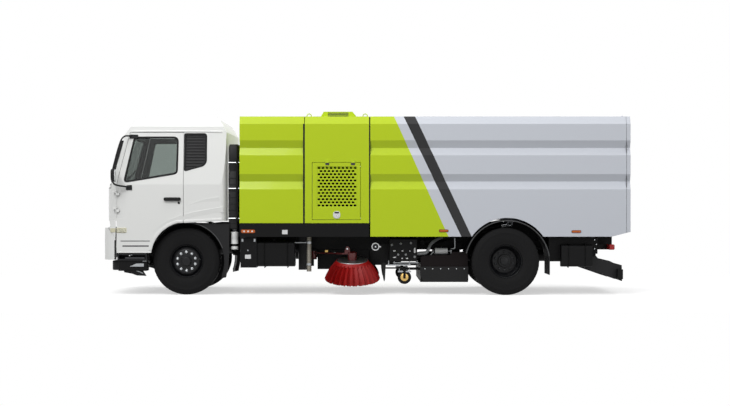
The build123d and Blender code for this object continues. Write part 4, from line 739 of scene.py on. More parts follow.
class Wheel:
    """One road wheel or twin pair: tyres, rims, hub and nuts."""

    front = HubSizes(y=0.96, face=0.118, nut=0.0165, hub_out=0.168, bolt_circle=0.040, hole_out=0.089,
                     hole_lean=-math.atan2(0.047, 0.032))
    rear = HubSizes(y=0.93, face=0.014, nut=0.0155, hub_out=0.110, bolt_circle=0.050, hole_out=0.038,
                    hole_lean=math.atan2(0.046, 0.028))
    twin_out = (0.156, -0.156)
    # (radius, distance out) round each disc, from the hub's tip over the rim and back to the axle
    twin_disc = ((0.0, 0.110), (0.060, 0.110), (0.068, 0.104), (0.070, 0.070), (0.098, 0.066), (0.103, 0.058),
                 (0.103, 0.016), (0.186, 0.014), (0.196, 0.030), (0.214, 0.060), (0.236, 0.078), (0.238, 0.241),
                 (0.243, 0.254), (0.250, 0.264), (0.2535, 0.2655), (0.2535, 0.060), (0.212, 0.0), (0.2535, -0.06),
                 (0.2535, -0.265), (0.236, -0.24), (0.236, -0.08), (0.186, -0.014), (0.08, -0.014), (0.0, -0.014))
    front_disc = ((0.0, 0.168), (0.056, 0.168), (0.070, 0.163), (0.078, 0.150), (0.082, 0.1225), (0.100, 0.1185),
                  (0.178, 0.118), (0.190, 0.113), (0.222, 0.066), (0.232, 0.060), (0.238, 0.066), (0.2385, 0.085),
                  (0.243, 0.098), (0.249, 0.108), (0.2535, 0.1098), (0.2535, -0.1095), (0.243, -0.1),
                  (0.236, -0.06), (0.20, 0.03), (0.08, 0.03), (0.0, 0.03))

    def __init__(self, side: Side, axle_x: float, twin: bool) -> None:
        self.side, self.x, self.twin = side, axle_x, twin
        self.hub = self.rear if twin else self.front
        self.word = f"rear_wheel_{side.word}" if twin else f"front_wheel_{side.word}"

    def build(self) -> None:
        """Makes the tyres and the wheel as two pieces of the same body."""
        tyre, rim = ("rear_tyres", "rear_rims") if self.twin else ("front_tyre", "front_rim")
        tyres = Skin()
        for out in (self.twin_out if self.twin else (0.0,)):
            tyres.add(Tyre().skin(self.x, -(self.hub.y + out)))
        wheel = self.rims().add(self.nuts())
        nut_steel = DARK_NUT_STEEL if self.twin else BRIGHT_STEEL
        for skin, node, slot, finishes in ((tyres, tyre, "tyre_rubber", (TYRE_RUBBER,)),
                                           (wheel, rim, "wheel_paint", (WHEEL_PAINT, nut_steel, BLACK_IRON))):
            name = f"{node}_{self.side.word}"
            skin.on(self.side).build(name + "_look", self.word, slot, finishes, (name,))

    def rims(self) -> Skin:
        """Rolled rim lips, drop wells and the pressed disc, turned about the axle, with oval hand holes."""
        centre = (self.x, -self.hub.y, TYRE_RADIUS)
        made = Skin().lathe(self.twin_disc if self.twin else self.front_disc, centre, turns=96)
        hole = Skin().prism(rounded(0.034, 0.062, 0.0165, 5), np.eye(4), 0.006, 0.001)
        slope = self.hub.hole_lean
        lean = np.eye(4)
        lean[:3, :3] = [[math.cos(slope), 0, -math.sin(slope)], [0, 1, 0], [math.sin(slope), 0, math.cos(slope)]]
        lean[:3, 3] = [0, 0, self.hub.hole_out]
        ring = ring_places(10, self.hub.hole_circle, centre, LEFTWARD, TAU / 20)
        return made.copies(hole, ring @ lean, paint=2)

    def nuts(self) -> Skin:
        """Ten capped nuts on their washers, eight hub bolts and the tyre valve."""
        face = -self.hub.y - self.hub.face
        size = self.hub.nut
        nut = Skin().lathe([(0.0, 0.034), (size * 0.5, 0.033), (size * 0.82, 0.028), (size * 0.95, 0.020),
                            (size, 0.006), (size * 1.25, 0.005), (size * 1.25, 0.0)], ORIGIN, UPWARD, 12)
        centre = (self.x, face, TYRE_RADIUS)
        made = Skin().copies(nut, ring_places(10, self.hub.nut_circle, centre, LEFTWARD), paint=1)
        bolt = Skin().lathe([(0.0, 0.009), (0.007, 0.009), (0.008, 0.0)], ORIGIN, UPWARD, 6)
        tip = (self.x, -self.hub.y - self.hub.hub_out + 0.0005, TYRE_RADIUS)
        made.copies(bolt, ring_places(8, self.hub.bolt_circle, tip, LEFTWARD) @ shifted(0, 0, -0.009), paint=2)
        valve = [(self.x + 0.195, face + 0.01, TYRE_RADIUS + 0.03), (self.x + 0.215, face - 0.01, TYRE_RADIUS + 0.035)]
        return made.tube(valve, 0.004, sides=6, paint=1)


# ---- brushes --------------------------------------------------------------------------------------------------
@dataclass(frozen=True)
class BrushSizes:
    """A gutter brush, in its own axes with Z up its leaning spindle.

    Strands run outwards from root to tip and fall by drop; each tuft is pleated by fold and stands in layers.
    """

    x: float = -0.225
    y: float = 0.88
    z: float = 0.545
    lean: float = math.radians(12)
    disc: float = 0.248
    tufts: int = 28
    strands: tuple[int, int] = (13, 3)
    root: float = 0.212
    tip: float = 0.436
    drop: float = 0.325
    plate: float = 0.012
    fold: float = 0.026
    layer: float = 0.016
    thick: tuple[float, float] = (0.0105, 0.0070)


class Brush:
    """One gutter brush: plate, clamp ring with bolts, and tufts of bristle that flare out and down."""

    def __init__(self, side: Side, sizes: BrushSizes = BrushSizes()) -> None:
        self.side, self.sizes = side, sizes

    def build(self) -> None:
        """Makes the brush in place of its node."""
        s = self.sizes
        place = facing((s.x, -s.y, s.z), (0.0, -math.sin(s.lean), math.cos(s.lean)), (0.0, 1.0, 0.2))
        name = f"brush_{self.side.word}"
        made = Skin()
        top = [(0.0, -0.001), (0.20, -0.001), (0.242, -0.004), (s.disc, -0.010), (s.disc, -0.029), (0.0, -0.029)]
        made.lathe(top, ORIGIN, UPWARD, 56, paint=1)
        collar = [(0.235, -0.012), (0.256, -0.016), (0.272, -0.040), (0.284, -0.068), (0.276, -0.068),
                  (0.262, -0.04), (0.235, -0.030)]
        made.lathe(collar, ORIGIN, UPWARD, 56)
        bolt = Skin().lathe([(0.0, 0.0), (0.012, 0.0), (0.014, -0.003), (0.014, -0.01)], ORIGIN, UPWARD, 8)
        made.copies(bolt, ring_places(8, 0.17, ORIGIN, UPWARD), paint=1)
        made.add(self.bristle())
        made.points = [placed(points, place) for points in made.points]
        made.on(self.side).build(name + "_look", name, "bristle", (RED_BRISTLE, ZINC), (name,), 50)

    def bristle(self) -> Skin:
        """Every strand at once: each is a three-sided taper of six rings.

        A strand leaves the plate at its tuft's root, flares outwards and turns down along a parabola, while the
        tuft folds into a pleat and spreads sideways to its tip; each strand strays a little by a seeded draw.
        """
        s = self.sizes
        draw = np.random.default_rng(7)
        wide, deep = s.strands
        u = np.linspace(0, 1, 6)[:, None, None, None]
        tuft = (np.arange(s.tufts) / s.tufts * TAU)[None, :, None, None]
        over = np.linspace(-1, 1, wide)[None, None, :, None]
        rank = np.linspace(-1, 1, deep)[None, None, None]
        stray = draw.normal(0, 1, (3, 1, s.tufts, wide, deep))
        angle = tuft + over * (TAU / s.tufts) * (0.37 + 0.05 * u) + stray[0] * 0.006 * u
        fold = s.fold * np.cos(over * math.pi) * (0.4 + 0.6 * u)
        bow = 1.35 * u - 0.35 * u**2
        radius = s.root + (s.tip - s.root - 0.030) * bow + rank * s.layer * (0.6 + 0.7 * u) + fold * 0.6
        radius = np.minimum(radius + stray[1] * 0.004 * u, s.tip)
        height = -s.plate - (s.drop - 0.015) * (0.86 * u + 0.14 * u**2) * (1 + 0.012 * stray[2]) + fold * 0.5
        height = np.maximum(height, -s.drop - 0.004)
        line = np.stack([radius * np.cos(angle), radius * np.sin(angle), height], -1)
        rings, count = len(u), s.tufts * wide * deep
        line = line.reshape(rings, count, 3).transpose(1, 0, 2)
        thick = np.linspace(*s.thick, rings)[None, :, None]
        side = np.cross(line[:, -1] - line[:, 0], UPWARD)
        side = (side / np.linalg.norm(side, axis=1, keepdims=True))[:, None]
        out = np.cross(side, line[:, -1:] - line[:, :1])
        out = out / np.linalg.norm(out, axis=2, keepdims=True)
        spokes = circle(1.0, 3)
        around = spokes[:, :1] * side[:, :, None] + spokes[:, 1:] * out[:, :, None]
        hull = line[:, :, None] + thick[..., None] * around
        ring = np.arange(rings - 1)[:, None] * 3 + np.arange(3)[None]
        after = np.arange(rings - 1)[:, None] * 3 + (np.arange(3) + 1)[None] % 3
        quads = np.stack([ring, after, after + 3, ring + 3], -1).reshape(-1, 4)
        faces = (np.arange(count)[:, None, None] * rings * 3 + quads[None]).reshape(-1, 4).tolist()
        ends = (np.arange(count)[:, None] * rings * 3 + (rings - 1) * 3 + np.arange(3)).tolist()
        return Skin().take(hull.reshape(-1, 3), faces + ends)


# ---- cab ------------------------------------------------------------------------------------------------------
# the cab's sides up to their waist, how fast they lean in above it, and the circle round its front corners
CAB_HALF, WAIST_Z, LEAN_IN = 1.2, 1.73, 0.11538
CORNER_X, CORNER_Y, CORNER_RADIUS = -3.746, 0.87, 0.33


def cab_side(flat: Sequence, out: float = 0.0) -> Array:
    """Points on the cab's left side at (x, z): upright to the waist, then leaning in, and round the front corner."""
    flat = np.asarray(flat, float)
    x, z = flat[..., 0], flat[..., 1]
    lean = CAB_HALF - np.maximum(z - WAIST_Z, 0) * LEAN_IN
    corner = CORNER_Y + np.sqrt(np.maximum(CORNER_RADIUS**2 - np.minimum(x - CORNER_X, 0) ** 2, 0))
    return np.stack([x, -(np.minimum(lean, corner) + out), z], -1)


def cab_nose(flat: Sequence, out: float = 0.0) -> Array:
    """Points on the cab's front at (y, z): the side view's line, or the corner's circle where that lies behind."""
    flat = np.asarray(flat, float)
    y, z = flat[..., 0], flat[..., 1]
    line = np.interp(z, [1.161, 1.66, 1.73, 2.502, 2.736], [-4.076, -4.076, -4.014, -3.795, -3.624])
    corner = CORNER_X - np.sqrt(np.maximum(CORNER_RADIUS**2 - np.maximum(np.abs(y) - CORNER_Y, 0) ** 2, 0))
    return np.stack([np.maximum(line, corner) - out, y, z], -1)


@dataclass(frozen=True)
class CabLines:
    """Edge lines of the cab in side or front view, with their corner radii."""

    door_window: tuple = ((-3.785, 1.769), (-2.962, 1.905), (-2.954, 2.468), (-3.630, 2.468))
    door_window_radii: tuple = (0.040, 0.070, 0.070, 0.060)
    quarter: tuple = ((-2.840, 1.949), (-2.511, 2.038), (-2.511, 2.520), (-2.840, 2.520))
    quarter_radii: tuple = (0.015, 0.110, 0.040, 0.015)
    windscreen: tuple = ((-1.09, 1.77), (1.09, 1.77), (1.01, 2.48), (-1.01, 2.48))
    rear_window: tuple = ((-0.70, 1.85), (0.70, 1.85), (0.70, 2.35), (-0.70, 2.35))
    arch: tuple = ((-3.354, 0.695), (-3.239, 0.941), (-2.943, 1.126))
    corner_z: tuple = (0.900, 0.925, 1.035, 1.090, 1.161, 1.175)
    corner_x: tuple = (-3.918, -3.932, -4.020, -4.000, -4.015, -4.015)


class Cab:
    """Seals, slats, mouldings, handles, lamps and wipers on the cab and its doors."""

    seal = rounded(0.030, 0.022, 0.005, 3) + [0.0, -0.005]
    # a pressed crease: a crisp edge above that fades into the panel below
    crease = np.array([(0.0, -0.002), (0.085, -0.002), (0.085, 0.0002), (0.006, 0.0058), (0.002, 0.0060)])

    def __init__(self, lines: CabLines = CabLines()) -> None:
        self.lines = lines

    def build(self) -> None:
        """Makes the fixed pieces of the cab and those of both doors."""
        for skin, name, slot, finishes in (
                (self.side_seals().both().add(self.front_seals()), "cab_seals", "black_plastic", (RUBBER,)),
                (self.slats().both(), "quarter_slats", "black_plastic", (BLACK_PLASTIC,)),
                (self.mouldings().both(), "cab_mouldings", "white_paint", (WHITE_ENAMEL, LAMP_RIM)),
                (self.front_panel(), "front_panel", "black_plastic", (BLACK_PLASTIC, PALE_PLATE, RUBBER)),
                (self.roof(), "cab_roof_dress", "white_paint", (WHITE_ENAMEL, AMBER_LENS))):
            skin.build(name, "cab", slot, finishes)
        for side in Side:
            self.door(side)

    def side_seals(self) -> Skin:
        """The left quarter window's rubber."""
        path = cab_side(rounded_path(self.lines.quarter, self.lines.quarter_radii))
        return Skin().sweep(self.seal, path, True, SIDE_OUT)

    def front_seals(self) -> Skin:
        """Rubber round the windscreen and the rear window, the rear window's dark film and both black pillars."""
        flat = rounded_path(self.lines.windscreen, 0.09, 9)
        path = cab_nose(flat)
        reach = np.maximum(np.abs(flat[:, 0]) - CORNER_Y, 0)
        corner = CORNER_X - np.sqrt(np.maximum(CORNER_RADIUS**2 - reach**2, 0))
        arc = np.stack([path[:, 0] - CORNER_X, np.sign(flat[:, 0]) * reach, 0 * reach], 1) / CORNER_RADIUS
        normal = np.where(corner[:, None] >= path[:, :1] - 1e-6, arc, np.array([SCREEN_OUT]))
        made = Skin().sweep(self.seal, path, True, normal)
        back = rounded_path(self.lines.rear_window, 0.06)
        path = on_cut(back, -2.190)
        made.solid(np.stack([path - [0.018, 0, 0], path - [0.016, 0, 0]]))
        pillar = cab_side(smooth([(-3.992, 1.765), (-3.938, 1.990), (-3.872, 2.240), (-3.826, 2.420)], 24))
        for way in (-1, 1):
            strip = pillar * [1, -way, 1]
            outward = (strip - [CORNER_X, way * CORNER_Y, 0.0]) * [1, 1, 0]
            made.sweep(rounded(0.052, 0.008, 0.003, 2), strip, up=outward / CORNER_RADIUS)
        return made.sweep(rounded(0.030, 0.016, 0.005, 3) + [0.0, -0.005], path, True, REARWARD)

    def slats(self) -> Skin:
        """Louvre blades in the quarter window, each clipped by the window's rising sill, on a dark backing."""
        made = Skin()
        blade = [(-0.014, 0.015), (-0.011, 0.017), (0.000, -0.013), (-0.003, -0.015)]
        for z in np.arange(1.985, 2.515, 0.046):
            rear = min(-2.520, -2.840 + (z - 1.949) / 0.2705 - 0.012)
            ends = cab_side([(-2.832, z), (rear, z)])
            made.sweep(blade, ends)
        ring = rounded_path(self.lines.quarter, self.lines.quarter_radii)
        return made.solid(np.stack([cab_side(ring, -0.0125), cab_side(ring, -0.0110)]))

    def mouldings(self) -> Skin:
        """Drip rail, rear arch lip, pressed creases, and the corner panel before the door with its lamp's end."""
        rail = cab_side([(-3.672, 2.562), (-3.2, 2.564), (-2.7, 2.563), (-2.262, 2.558)], 0.002)
        made = Skin().sweep(rounded(0.022, 0.018, 0.006, 3), rail, up=SIDE_OUT)
        lip = [(-2.850, -1.2005, 1.150), (-2.6, -1.2005, 1.163), (-2.262, -1.2005, 1.182)]
        made.sweep(BEAD, lip, up=LEFTWARD)
        z = np.linspace(self.lines.corner_z[0], self.lines.corner_z[-1], 34)[:, None]
        front = np.interp(z, self.lines.corner_z, self.lines.corner_x)
        flat = np.stack([front + (-3.916 - front) * np.linspace(0, 1, 12)[None], z + np.zeros((1, 12))], -1)
        made.solid(np.concatenate([self.corner(flat, 0.0085), self.corner(flat, 0.0035)[:, ::-1]], 1))
        lamp = np.stack(np.meshgrid(np.linspace(-4.000, -3.917, 9), np.linspace(0.982, 1.046, 6)), -1)
        made.solid(np.concatenate([self.corner(lamp, 0.0125), self.corner(lamp, 0.006)[:, ::-1]], 1), paint=1)
        crease = on_wall(smooth([(-2.854, 1.264), (-2.583, 1.325), (-2.245, 1.383)], 16), -1.1995)
        made.sweep(self.crease, crease, up=LEFTWARD)
        wedge = on_wall(smooth([(-2.760, 1.425), (-2.540, 1.500), (-2.300, 1.538)], 16), -1.1995)
        return made.sweep(self.crease, wedge, up=LEFTWARD, scale=np.linspace(0.25, 0.9, 16))

    @staticmethod
    def corner(flat: Array, out: float) -> Array:
        """Places (x, z) points just outside the bumper's side, which turns its corner with a radius of 190 mm."""
        x, z = flat[..., 0], flat[..., 1]
        ahead = np.maximum(-3.925 - x, 0)
        return np.stack([x, -1.010 - np.sqrt((0.190 + out) ** 2 - ahead**2), z], -1)

    def front_panel(self) -> Skin:
        """The louvred air panel under the windscreen, the cowl strip and two wipers."""
        made = Skin()
        ground = facing((-4.072, 0.0, 1.330), FORWARD)
        made.prism(rounded(1.50, 0.26, 0.05, 5), ground, 0.010, 0.003)
        blade = [(-0.008, 0.012), (0.0, 0.014), (0.014, -0.010), (0.006, -0.012)]
        for z in np.linspace(1.235, 1.425, 6):
            made.sweep(blade, [(-4.082, 0.70, z), (-4.082, -0.70, z)])
        y = np.linspace(-1.07, 1.07, 60)
        low, high = cab_nose(np.stack([y, 0 * y + 1.672], 1), 0.004), cab_nose(np.stack([y, 0 * y + 1.748], 1), 0.005)
        inner_low, inner_high = low + [0.012, 0, 0], high + [0.012, 0, 0]
        made.solid(np.stack([low, high, inner_high, inner_low], 1))
        for y in (-0.86, 0.10):
            made.lathe([(0.0, 0.030), (0.016, 0.028), (0.020, 0.0)], (-4.030, y, 1.722), SCREEN_OUT, 16)
            tip = cab_nose([(y + 0.62, 1.905)], 0.026)[0]
            made.tube([(-4.056, y, 1.728), tuple((np.array([-4.056, y, 1.728]) + tip) / 2 + [-0.012, 0, 0]), tip],
                      0.007, 12, 8)
            ends = cab_nose([(y + 0.32, 1.812), (y + 0.62, 1.905), (y + 0.90, 1.992)], 0.010)
            made.sweep(rounded(0.010, 0.026, 0.004, 2), ends, up=SCREEN_OUT, paint=2)
        return made

    def roof(self) -> Skin:
        """A roof air vent with its rim and three small clearance lamps over the windscreen."""
        made = Skin()
        place = shifted(-2.95, 0.0, 2.796)
        made.loft(rounded(0.56, 0.44, 0.06, 5), place, [(0.99, 0.0), (1.0, 0.004), (1.0, 0.014), (0.97, 0.020),
                                                         (0.93, 0.020), (0.90, 0.015), (0.86, 0.0152)])
        for y in (-0.85, 0.0, 0.85):
            at = cab_nose([(y, 2.660)])[0]
            made.loft(rounded(0.12, 0.034, 0.016, 4), facing(tuple(at), (-0.808, 0.0, 0.590)),
                      [(1.0, -0.004), (1.0, 0.010), (0.88, 0.019), (0.6, 0.023)], paint=1)
        return made

    def door(self, side: Side) -> None:
        """The door's window rubber, pull handle, lock, strips of painted groove shade, lamp lens, arch lip and pressed
        crease.
        """
        window = cab_side(rounded_path(self.lines.door_window, self.lines.door_window_radii))
        black = Skin().sweep(self.seal, window, True, SIDE_OUT)
        grip = facing((-3.0325, -1.199, 1.501))
        black.loft(rounded(0.263, 0.054, 0.018, 5), grip, [(1.0, 0.0), (1.0, 0.028), (0.97, 0.034), (0.85, 0.0375)])
        black.lathe([(0.0, 0.007), (0.015, 0.007), (0.019, 0.003), (0.019, -0.002)], (-2.930, -1.2, 1.443), turns=20)
        # painted shade: dark strips where the door's stepped grooves lie in shadow
        for z, x, length, high in ((0.846, -3.611, 0.458, 0.013), (0.768, -3.605, 0.415, 0.020)):
            black.prism(rounded(length, high, high / 2 - 0.0005, 4), facing((x, -1.1990, z)), 0.0026, 0.001, 1)
        lens_place = facing((-3.826, -1.1985, 1.014))
        black.prism(rounded(0.160, 0.078, 0.014, 4), lens_place, 0.007, 0.002, paint=2)
        self.hang(black, side, "door_trim", "black_plastic", (RUBBER, CHARCOAL_AND_GROOVE_SHADE, LAMP_RIM))
        lens = Skin().loft(rounded(0.146, 0.062, 0.012, 4), lens_place,
                           [(1.0, 0.005), (1.0, 0.011), (0.94, 0.015), (0.6, 0.0165)])
        self.hang(lens, side, "door_lamp", "lamp_clear", (CLEAR_LENS,))
        arc = arc_through(*self.lines.arch, 22, 0.024)
        path = np.concatenate([arc, [(-2.935, 1.1505), (-2.866, 1.1505)]])
        lip = Skin().sweep(BEAD, on_wall(path, -1.2005), up=LEFTWARD)
        rib = [(-3.890, -1.1998, 0.668), (-3.372, -1.1998, 0.668)]
        lip.sweep(rounded(0.016, 0.010, 0.003, 3), rib, up=LEFTWARD)
        crease = on_wall(smooth([(-3.350, 0.990), (-3.223, 1.098), (-3.063, 1.190), (-2.869, 1.258)], 20), -1.1995)
        lip.sweep(self.crease, crease, up=LEFTWARD, scale=np.linspace(0.3, 1.0, 20))
        self.hang(lip, side, "door_mouldings", "white_paint", (WHITE_ENAMEL,))

    def hang(self, skin: Skin, side: Side, name: str, slot: str, finishes: Sequence[Finish]) -> None:
        """Builds a left door's skin on the door of the given side."""
        skin.on(side).build(f"{name}_{side.word}", f"door_{side.word}", slot, finishes)


class Mirror:
    """A door mirror: a rounded head with glass to the rear, on bent arms with their feet."""

    head: Point = (-3.922, -1.380, 1.871)
    size = (0.180, 0.202, 0.066)

    def __init__(self, side: Side) -> None:
        self.side = side

    def build(self) -> None:
        """Makes the mirror in place of its node."""
        (x, y, z), (wide, high, deep) = self.head, self.size
        back = facing((x + deep * 0.42, y, z), (-1.0, 0.0, -0.012))
        shell = [(0.90, 0.0), (0.98, 0.004), (1.0, 0.010), (0.99, deep * 0.45), (0.93, deep * 0.72),
                 (0.78, deep * 0.90), (0.45, deep * 0.985), (0.0, deep)]
        made = Skin().loft(rounded(wide, high, 0.036, 6), back, shell)
        made.loft(rounded(wide * 0.86, high * 0.88, 0.030, 6), back, [(1.0, 0.004), (1.0, -0.0025), (0.0, -0.0025)],
                  paint=1)
        foot = facing((-3.7075, -1.199, 1.6865))
        made.loft(rounded_path([(-0.048, -0.045), (0.048, -0.045), (0.046, 0.036), (-0.040, 0.030)], 0.014), foot,
                  [(1.0, 0.0), (1.0, 0.010), (0.9, 0.015), (0.0, 0.016)])
        made.tube([(-3.700, -1.205, 1.690), (-3.790, -1.262, 1.700), (-3.905, -1.345, 1.728), (-3.936, -1.378, 1.790)],
                  0.0135, 26, 12)
        made.tube([(-3.932, -1.378, 1.960), (-3.908, -1.376, 2.060), (-3.862, -1.366, 2.240), (-3.812, -1.345, 2.405),
                   (-3.776, -1.270, 2.472), (-3.735, -1.180, 2.490), (-3.680, -1.125, 2.487)], 0.0125, 44, 10)
        top = cab_side(rounded_path([(-3.715, 2.452), (-3.585, 2.452), (-3.575, 2.508), (-3.700, 2.512)], 0.012))
        made.grid(np.stack([top + [0, 0.004, 0], top + [0, -0.014, 0.0016], top + [0.0, -0.0175, 0.002],
                            np.broadcast_to(top.mean(0) + [0, -0.0185, 0.002], top.shape)]), (False, True))
        name = f"mirror_{self.side.word}"
        made.on(self.side).build(name + "_look", f"door_{self.side.word}", "black_plastic",
                                 (BLACK_PLASTIC, MIRROR_GLASS), (name,))


@dataclass(frozen=True)
class PadSizes:
    """A sewn pad: its middle, half sizes along its own axes, lean, sewn channels and piped seam."""

    name: str
    middle: tuple
    half: tuple
    lean: float
    channels: int
    channel_axis: int
    roundness: tuple[float, float, float] = (0.42, 0.80, 0.34)
    channel_depth: float = 0.20
    channel_width: float = 0.045
    seam_depth: float = 0.030
    seam_width: float = 0.10


class Seat:
    """One seat: moulded base with its slides, and crowned pads with sewn channels and piped seams."""

    pads = (
        PadSizes("cushion", (-2.890, 0.0, 1.540), (0.262, 0.228, 0.056), -0.06, 4, 1),
        PadSizes("back", (-2.583, 0.0, 1.850), (0.052, 0.228, 0.288), 0.258, 4, 2),
        PadSizes("headrest", (-2.486, 0.0, 2.232), (0.038, 0.110, 0.084), 0.22, 0, 1),
    )

    def __init__(self, side: Side) -> None:
        self.side, self.y = side, -0.625

    def build(self) -> None:
        """Makes the seat; the left one stands for the CAD pair."""
        base = Skin()
        base.slab((-3.075, self.y - 0.180, 1.208), (-2.645, self.y + 0.180, 1.470), 0.03)
        for y in (self.y - 0.15, self.y + 0.15):
            base.slab((-3.110, y - 0.018, 1.2075), (-2.600, y + 0.018, 1.226), 0.004, paint=1)
        for y in (self.y - 0.04, self.y + 0.04):
            base.tube([(-2.515, y, 2.09), (-2.492, y, 2.19)], 0.006, sides=8, paint=1)
        stands_for = ("seats",) if self.side is Side.LEFT else ()
        base.on(self.side).build(f"seat_base_{self.side.word}", "cab", "cab_plastic", (TRIM, ZINC), stands_for)
        for pad in self.pads:
            cloth = COVER_CLOTH if pad.name == "headrest" else SEAT_CLOTH
            made = self.pad(pad).on(self.side).build(f"seat_{pad.name}_{self.side.word}", "cab", "seat_fabric",
                                                     (cloth, TRIM), angle=70)

    def pad(self, size: PadSizes) -> Skin:
        """A crowned closed form.

        Start from the superellipsoid sign(cos)|cos|^e on both parameters, which pulls the sides in between the
        corners; press each sewn channel in by a narrow bell across it; draw the seam ring in at the waist; then
        turn the whole by its lean about Y.
        """
        u = np.linspace(-math.pi / 2, math.pi / 2, 49)[:, None]
        v = np.linspace(-math.pi, math.pi, 120, endpoint=False)[None]
        thin = int(np.argmin(size.half))
        flat = [axis for axis in range(3) if axis != thin]
        rim, crown, corner = size.roundness
        cu, su = self.power(np.cos(u), rim), self.power(np.sin(u), crown)
        cv, sv = self.power(np.cos(v), corner), self.power(np.sin(v), corner)
        unit = np.empty(np.broadcast_shapes(u.shape, v.shape) + (3,))
        unit[..., flat[0]], unit[..., flat[1]], unit[..., thin] = cu * cv, cu * sv, su + 0 * v
        press = np.ones(unit.shape[:2])
        if size.channels:
            across = unit[..., size.channel_axis if size.channel_axis != thin else flat[0]]
            lines = np.linspace(-0.62, 0.62, size.channels)
            gap = np.abs(across[..., None] - lines).min(-1)
            press = 1 - size.channel_depth * np.exp(-(gap / size.channel_width) ** 2)
        seam = 1 - size.seam_depth * np.exp(-(np.abs(unit[..., thin]) / size.seam_width) ** 2)
        unit[..., thin] *= press * (1 - 0.10 * (unit[..., flat[0]] ** 2 + unit[..., flat[1]] ** 2) / 2)
        unit[..., flat[0]] *= seam
        unit[..., flat[1]] *= seam
        local = unit * size.half
        c, s = math.cos(size.lean), math.sin(size.lean)
        x, y, z = local[..., 0], local[..., 1], local[..., 2]
        turned = np.stack([x * c + z * s, y, z * c - x * s], -1)
        centre = np.array(size.middle) + [0.0, self.y, 0.0]
        return Skin().grid(turned + centre, (False, True))

    @staticmethod
    def power(value: Array, share: float) -> Array:
        """A signed power, which squares a circle up as share falls."""
        return np.sign(value) * np.abs(value) ** share


# ---- body -----------------------------------------------------------------------------------------------------
@dataclass(frozen=True)
class FlapSizes:
    """The engine housing's side flap and the staggered holes of its grille."""

    x: tuple[float, float] = (-0.843, -0.097)
    z: tuple[float, float] = (1.182, 2.069)
    grille_x: tuple[float, float] = (-0.771, -0.147)
    grille_z: tuple[float, float] = (1.377, 2.010)
    rows: int = 13
    columns: int = 10
    hole: tuple[float, float] = (0.36, 0.33)
    sheet: float = 0.003
    face: float = 1.25
    thick: float = 0.028


class EngineFlap:
    """A hinged flap: a folded panel with a punched grille, a recessed latch and hinge barrels along its top."""

    def __init__(self, side: Side, sizes: FlapSizes = FlapSizes()) -> None:
        self.side, self.sizes = side, sizes

    def build(self) -> None:
        """Makes the flap in place of its node."""
        s = self.sizes
        made = Skin()
        back = s.face - s.thick
        (x0, x1), (z0, z1), (g0, g1), (h0, h1) = s.x, s.z, s.grille_x, s.grille_z
        for low, high in (((x0, z0), (x1, h0)), ((x0, h1), (x1, z1)), ((x0, h0), (g0, h1)), ((g1, h0), (x1, h1))):
            made.solid(self.plate(low, high, s.face, back))
        made.add(self.punched()).add(self.latch())
        for x in (-0.640, -0.240):
            made.tube([(x, -1.258, 2.072), (x + 0.0597, -1.258, 2.072)], 0.008, sides=12, paint=1)
            made.slab((x, -1.2500, 2.030), (x + 0.0597, -1.2535, 2.066), 0.003, paint=1)
        for z in (1.28, 2.04):
            made.sweep(rounded(0.012, 0.024, 0.003, 2), [(x0 + 0.03, -back, z), (x1 - 0.03, -back, z)])
        name = f"engine_flap_{self.side.word}"
        made.on(self.side).build(name + "_look", name, "green_paint",
                                 (LIME_ENAMEL, CHARCOAL_AND_GROOVE_SHADE, PALE_PLATE, BRIGHT_STEEL), (name,))

    def plate(self, low: tuple, high: tuple, face: float, back: float) -> Array:
        """A flat plate between two (x, z) corners as two rings, on its face and on its back."""
        (x0, z0), (x1, z1) = low, high
        ring = [(x0, z0), (x1, z0), (x1, z1), (x0, z1)]
        return np.stack([on_wall(ring, -face), on_wall(ring, -back)])

    def punched(self) -> Skin:
        """Sheet with staggered holes.

        Each cell is a square whose rim is joined to its hole by rays at equal angles; odd rows stand half a
        cell aside, and plain half cells fill their ends.
        """
        s = self.sizes
        wide = (s.grille_x[1] - s.grille_x[0]) / s.columns
        high = (s.grille_z[1] - s.grille_z[0]) / s.rows
        ray = circle(1.0)
        square = ray / np.abs(ray).max(1, keepdims=True) * [wide / 2, high / 2]
        hole = np.sign(ray) * np.abs(ray) ** 0.8 * [wide * s.hole[0], high * s.hole[1]]
        rings = levels([(square, 0.0), (hole, 0.0), (hole, -s.sheet), (square, -s.sheet)])
        cell = Skin().grid(rings, (False, True))
        corners = np.array([(-1, -2, 0), (1, -2, 0), (1, 2, 0), (-1, 2, 0)]) / 4 * [wide, high, 1]
        half = Skin().take(corners, [[0, 1, 2, 3]])
        made = Skin()
        y = 0.006 - s.face
        for row in range(s.rows):
            z = s.grille_z[0] + (row + 0.5) * high
            odd = row % 2
            x = s.grille_x[0] + (np.arange(s.columns - odd) + 0.5 + 0.5 * odd) * wide
            made.copies(cell, [facing((float(at), y, z)) for at in x])
            if odd:
                ends = (s.grille_x[0] + wide / 4, s.grille_x[1] - wide / 4)
                made.copies(half, [facing((at, y, z)) for at in ends])
        return made

    def latch(self) -> Skin:
        """A pale round escutcheon with its paddle slot and lock barrel."""
        place = facing((-0.464, -1.2495, 1.255))
        made = Skin().loft(rounded(0.112, 0.118, 0.046, 8), place, [(1.0, 0.0), (1.0, 0.004), (0.93, 0.0075),
                                                                    (0.5, 0.0080), (0.0, 0.0080)], paint=2)
        made.prism(rounded(0.074, 0.026, 0.006, 4), place @ shifted(0, 0.036, 0.0065), 0.0022, 0.0005, paint=1)
        return made.lathe([(0.0, 0.0085), (0.008, 0.0085), (0.011, 0.0070), (0.011, 0.005)],
                          (-0.464, -1.2495, 1.243), turns=16, paint=3)


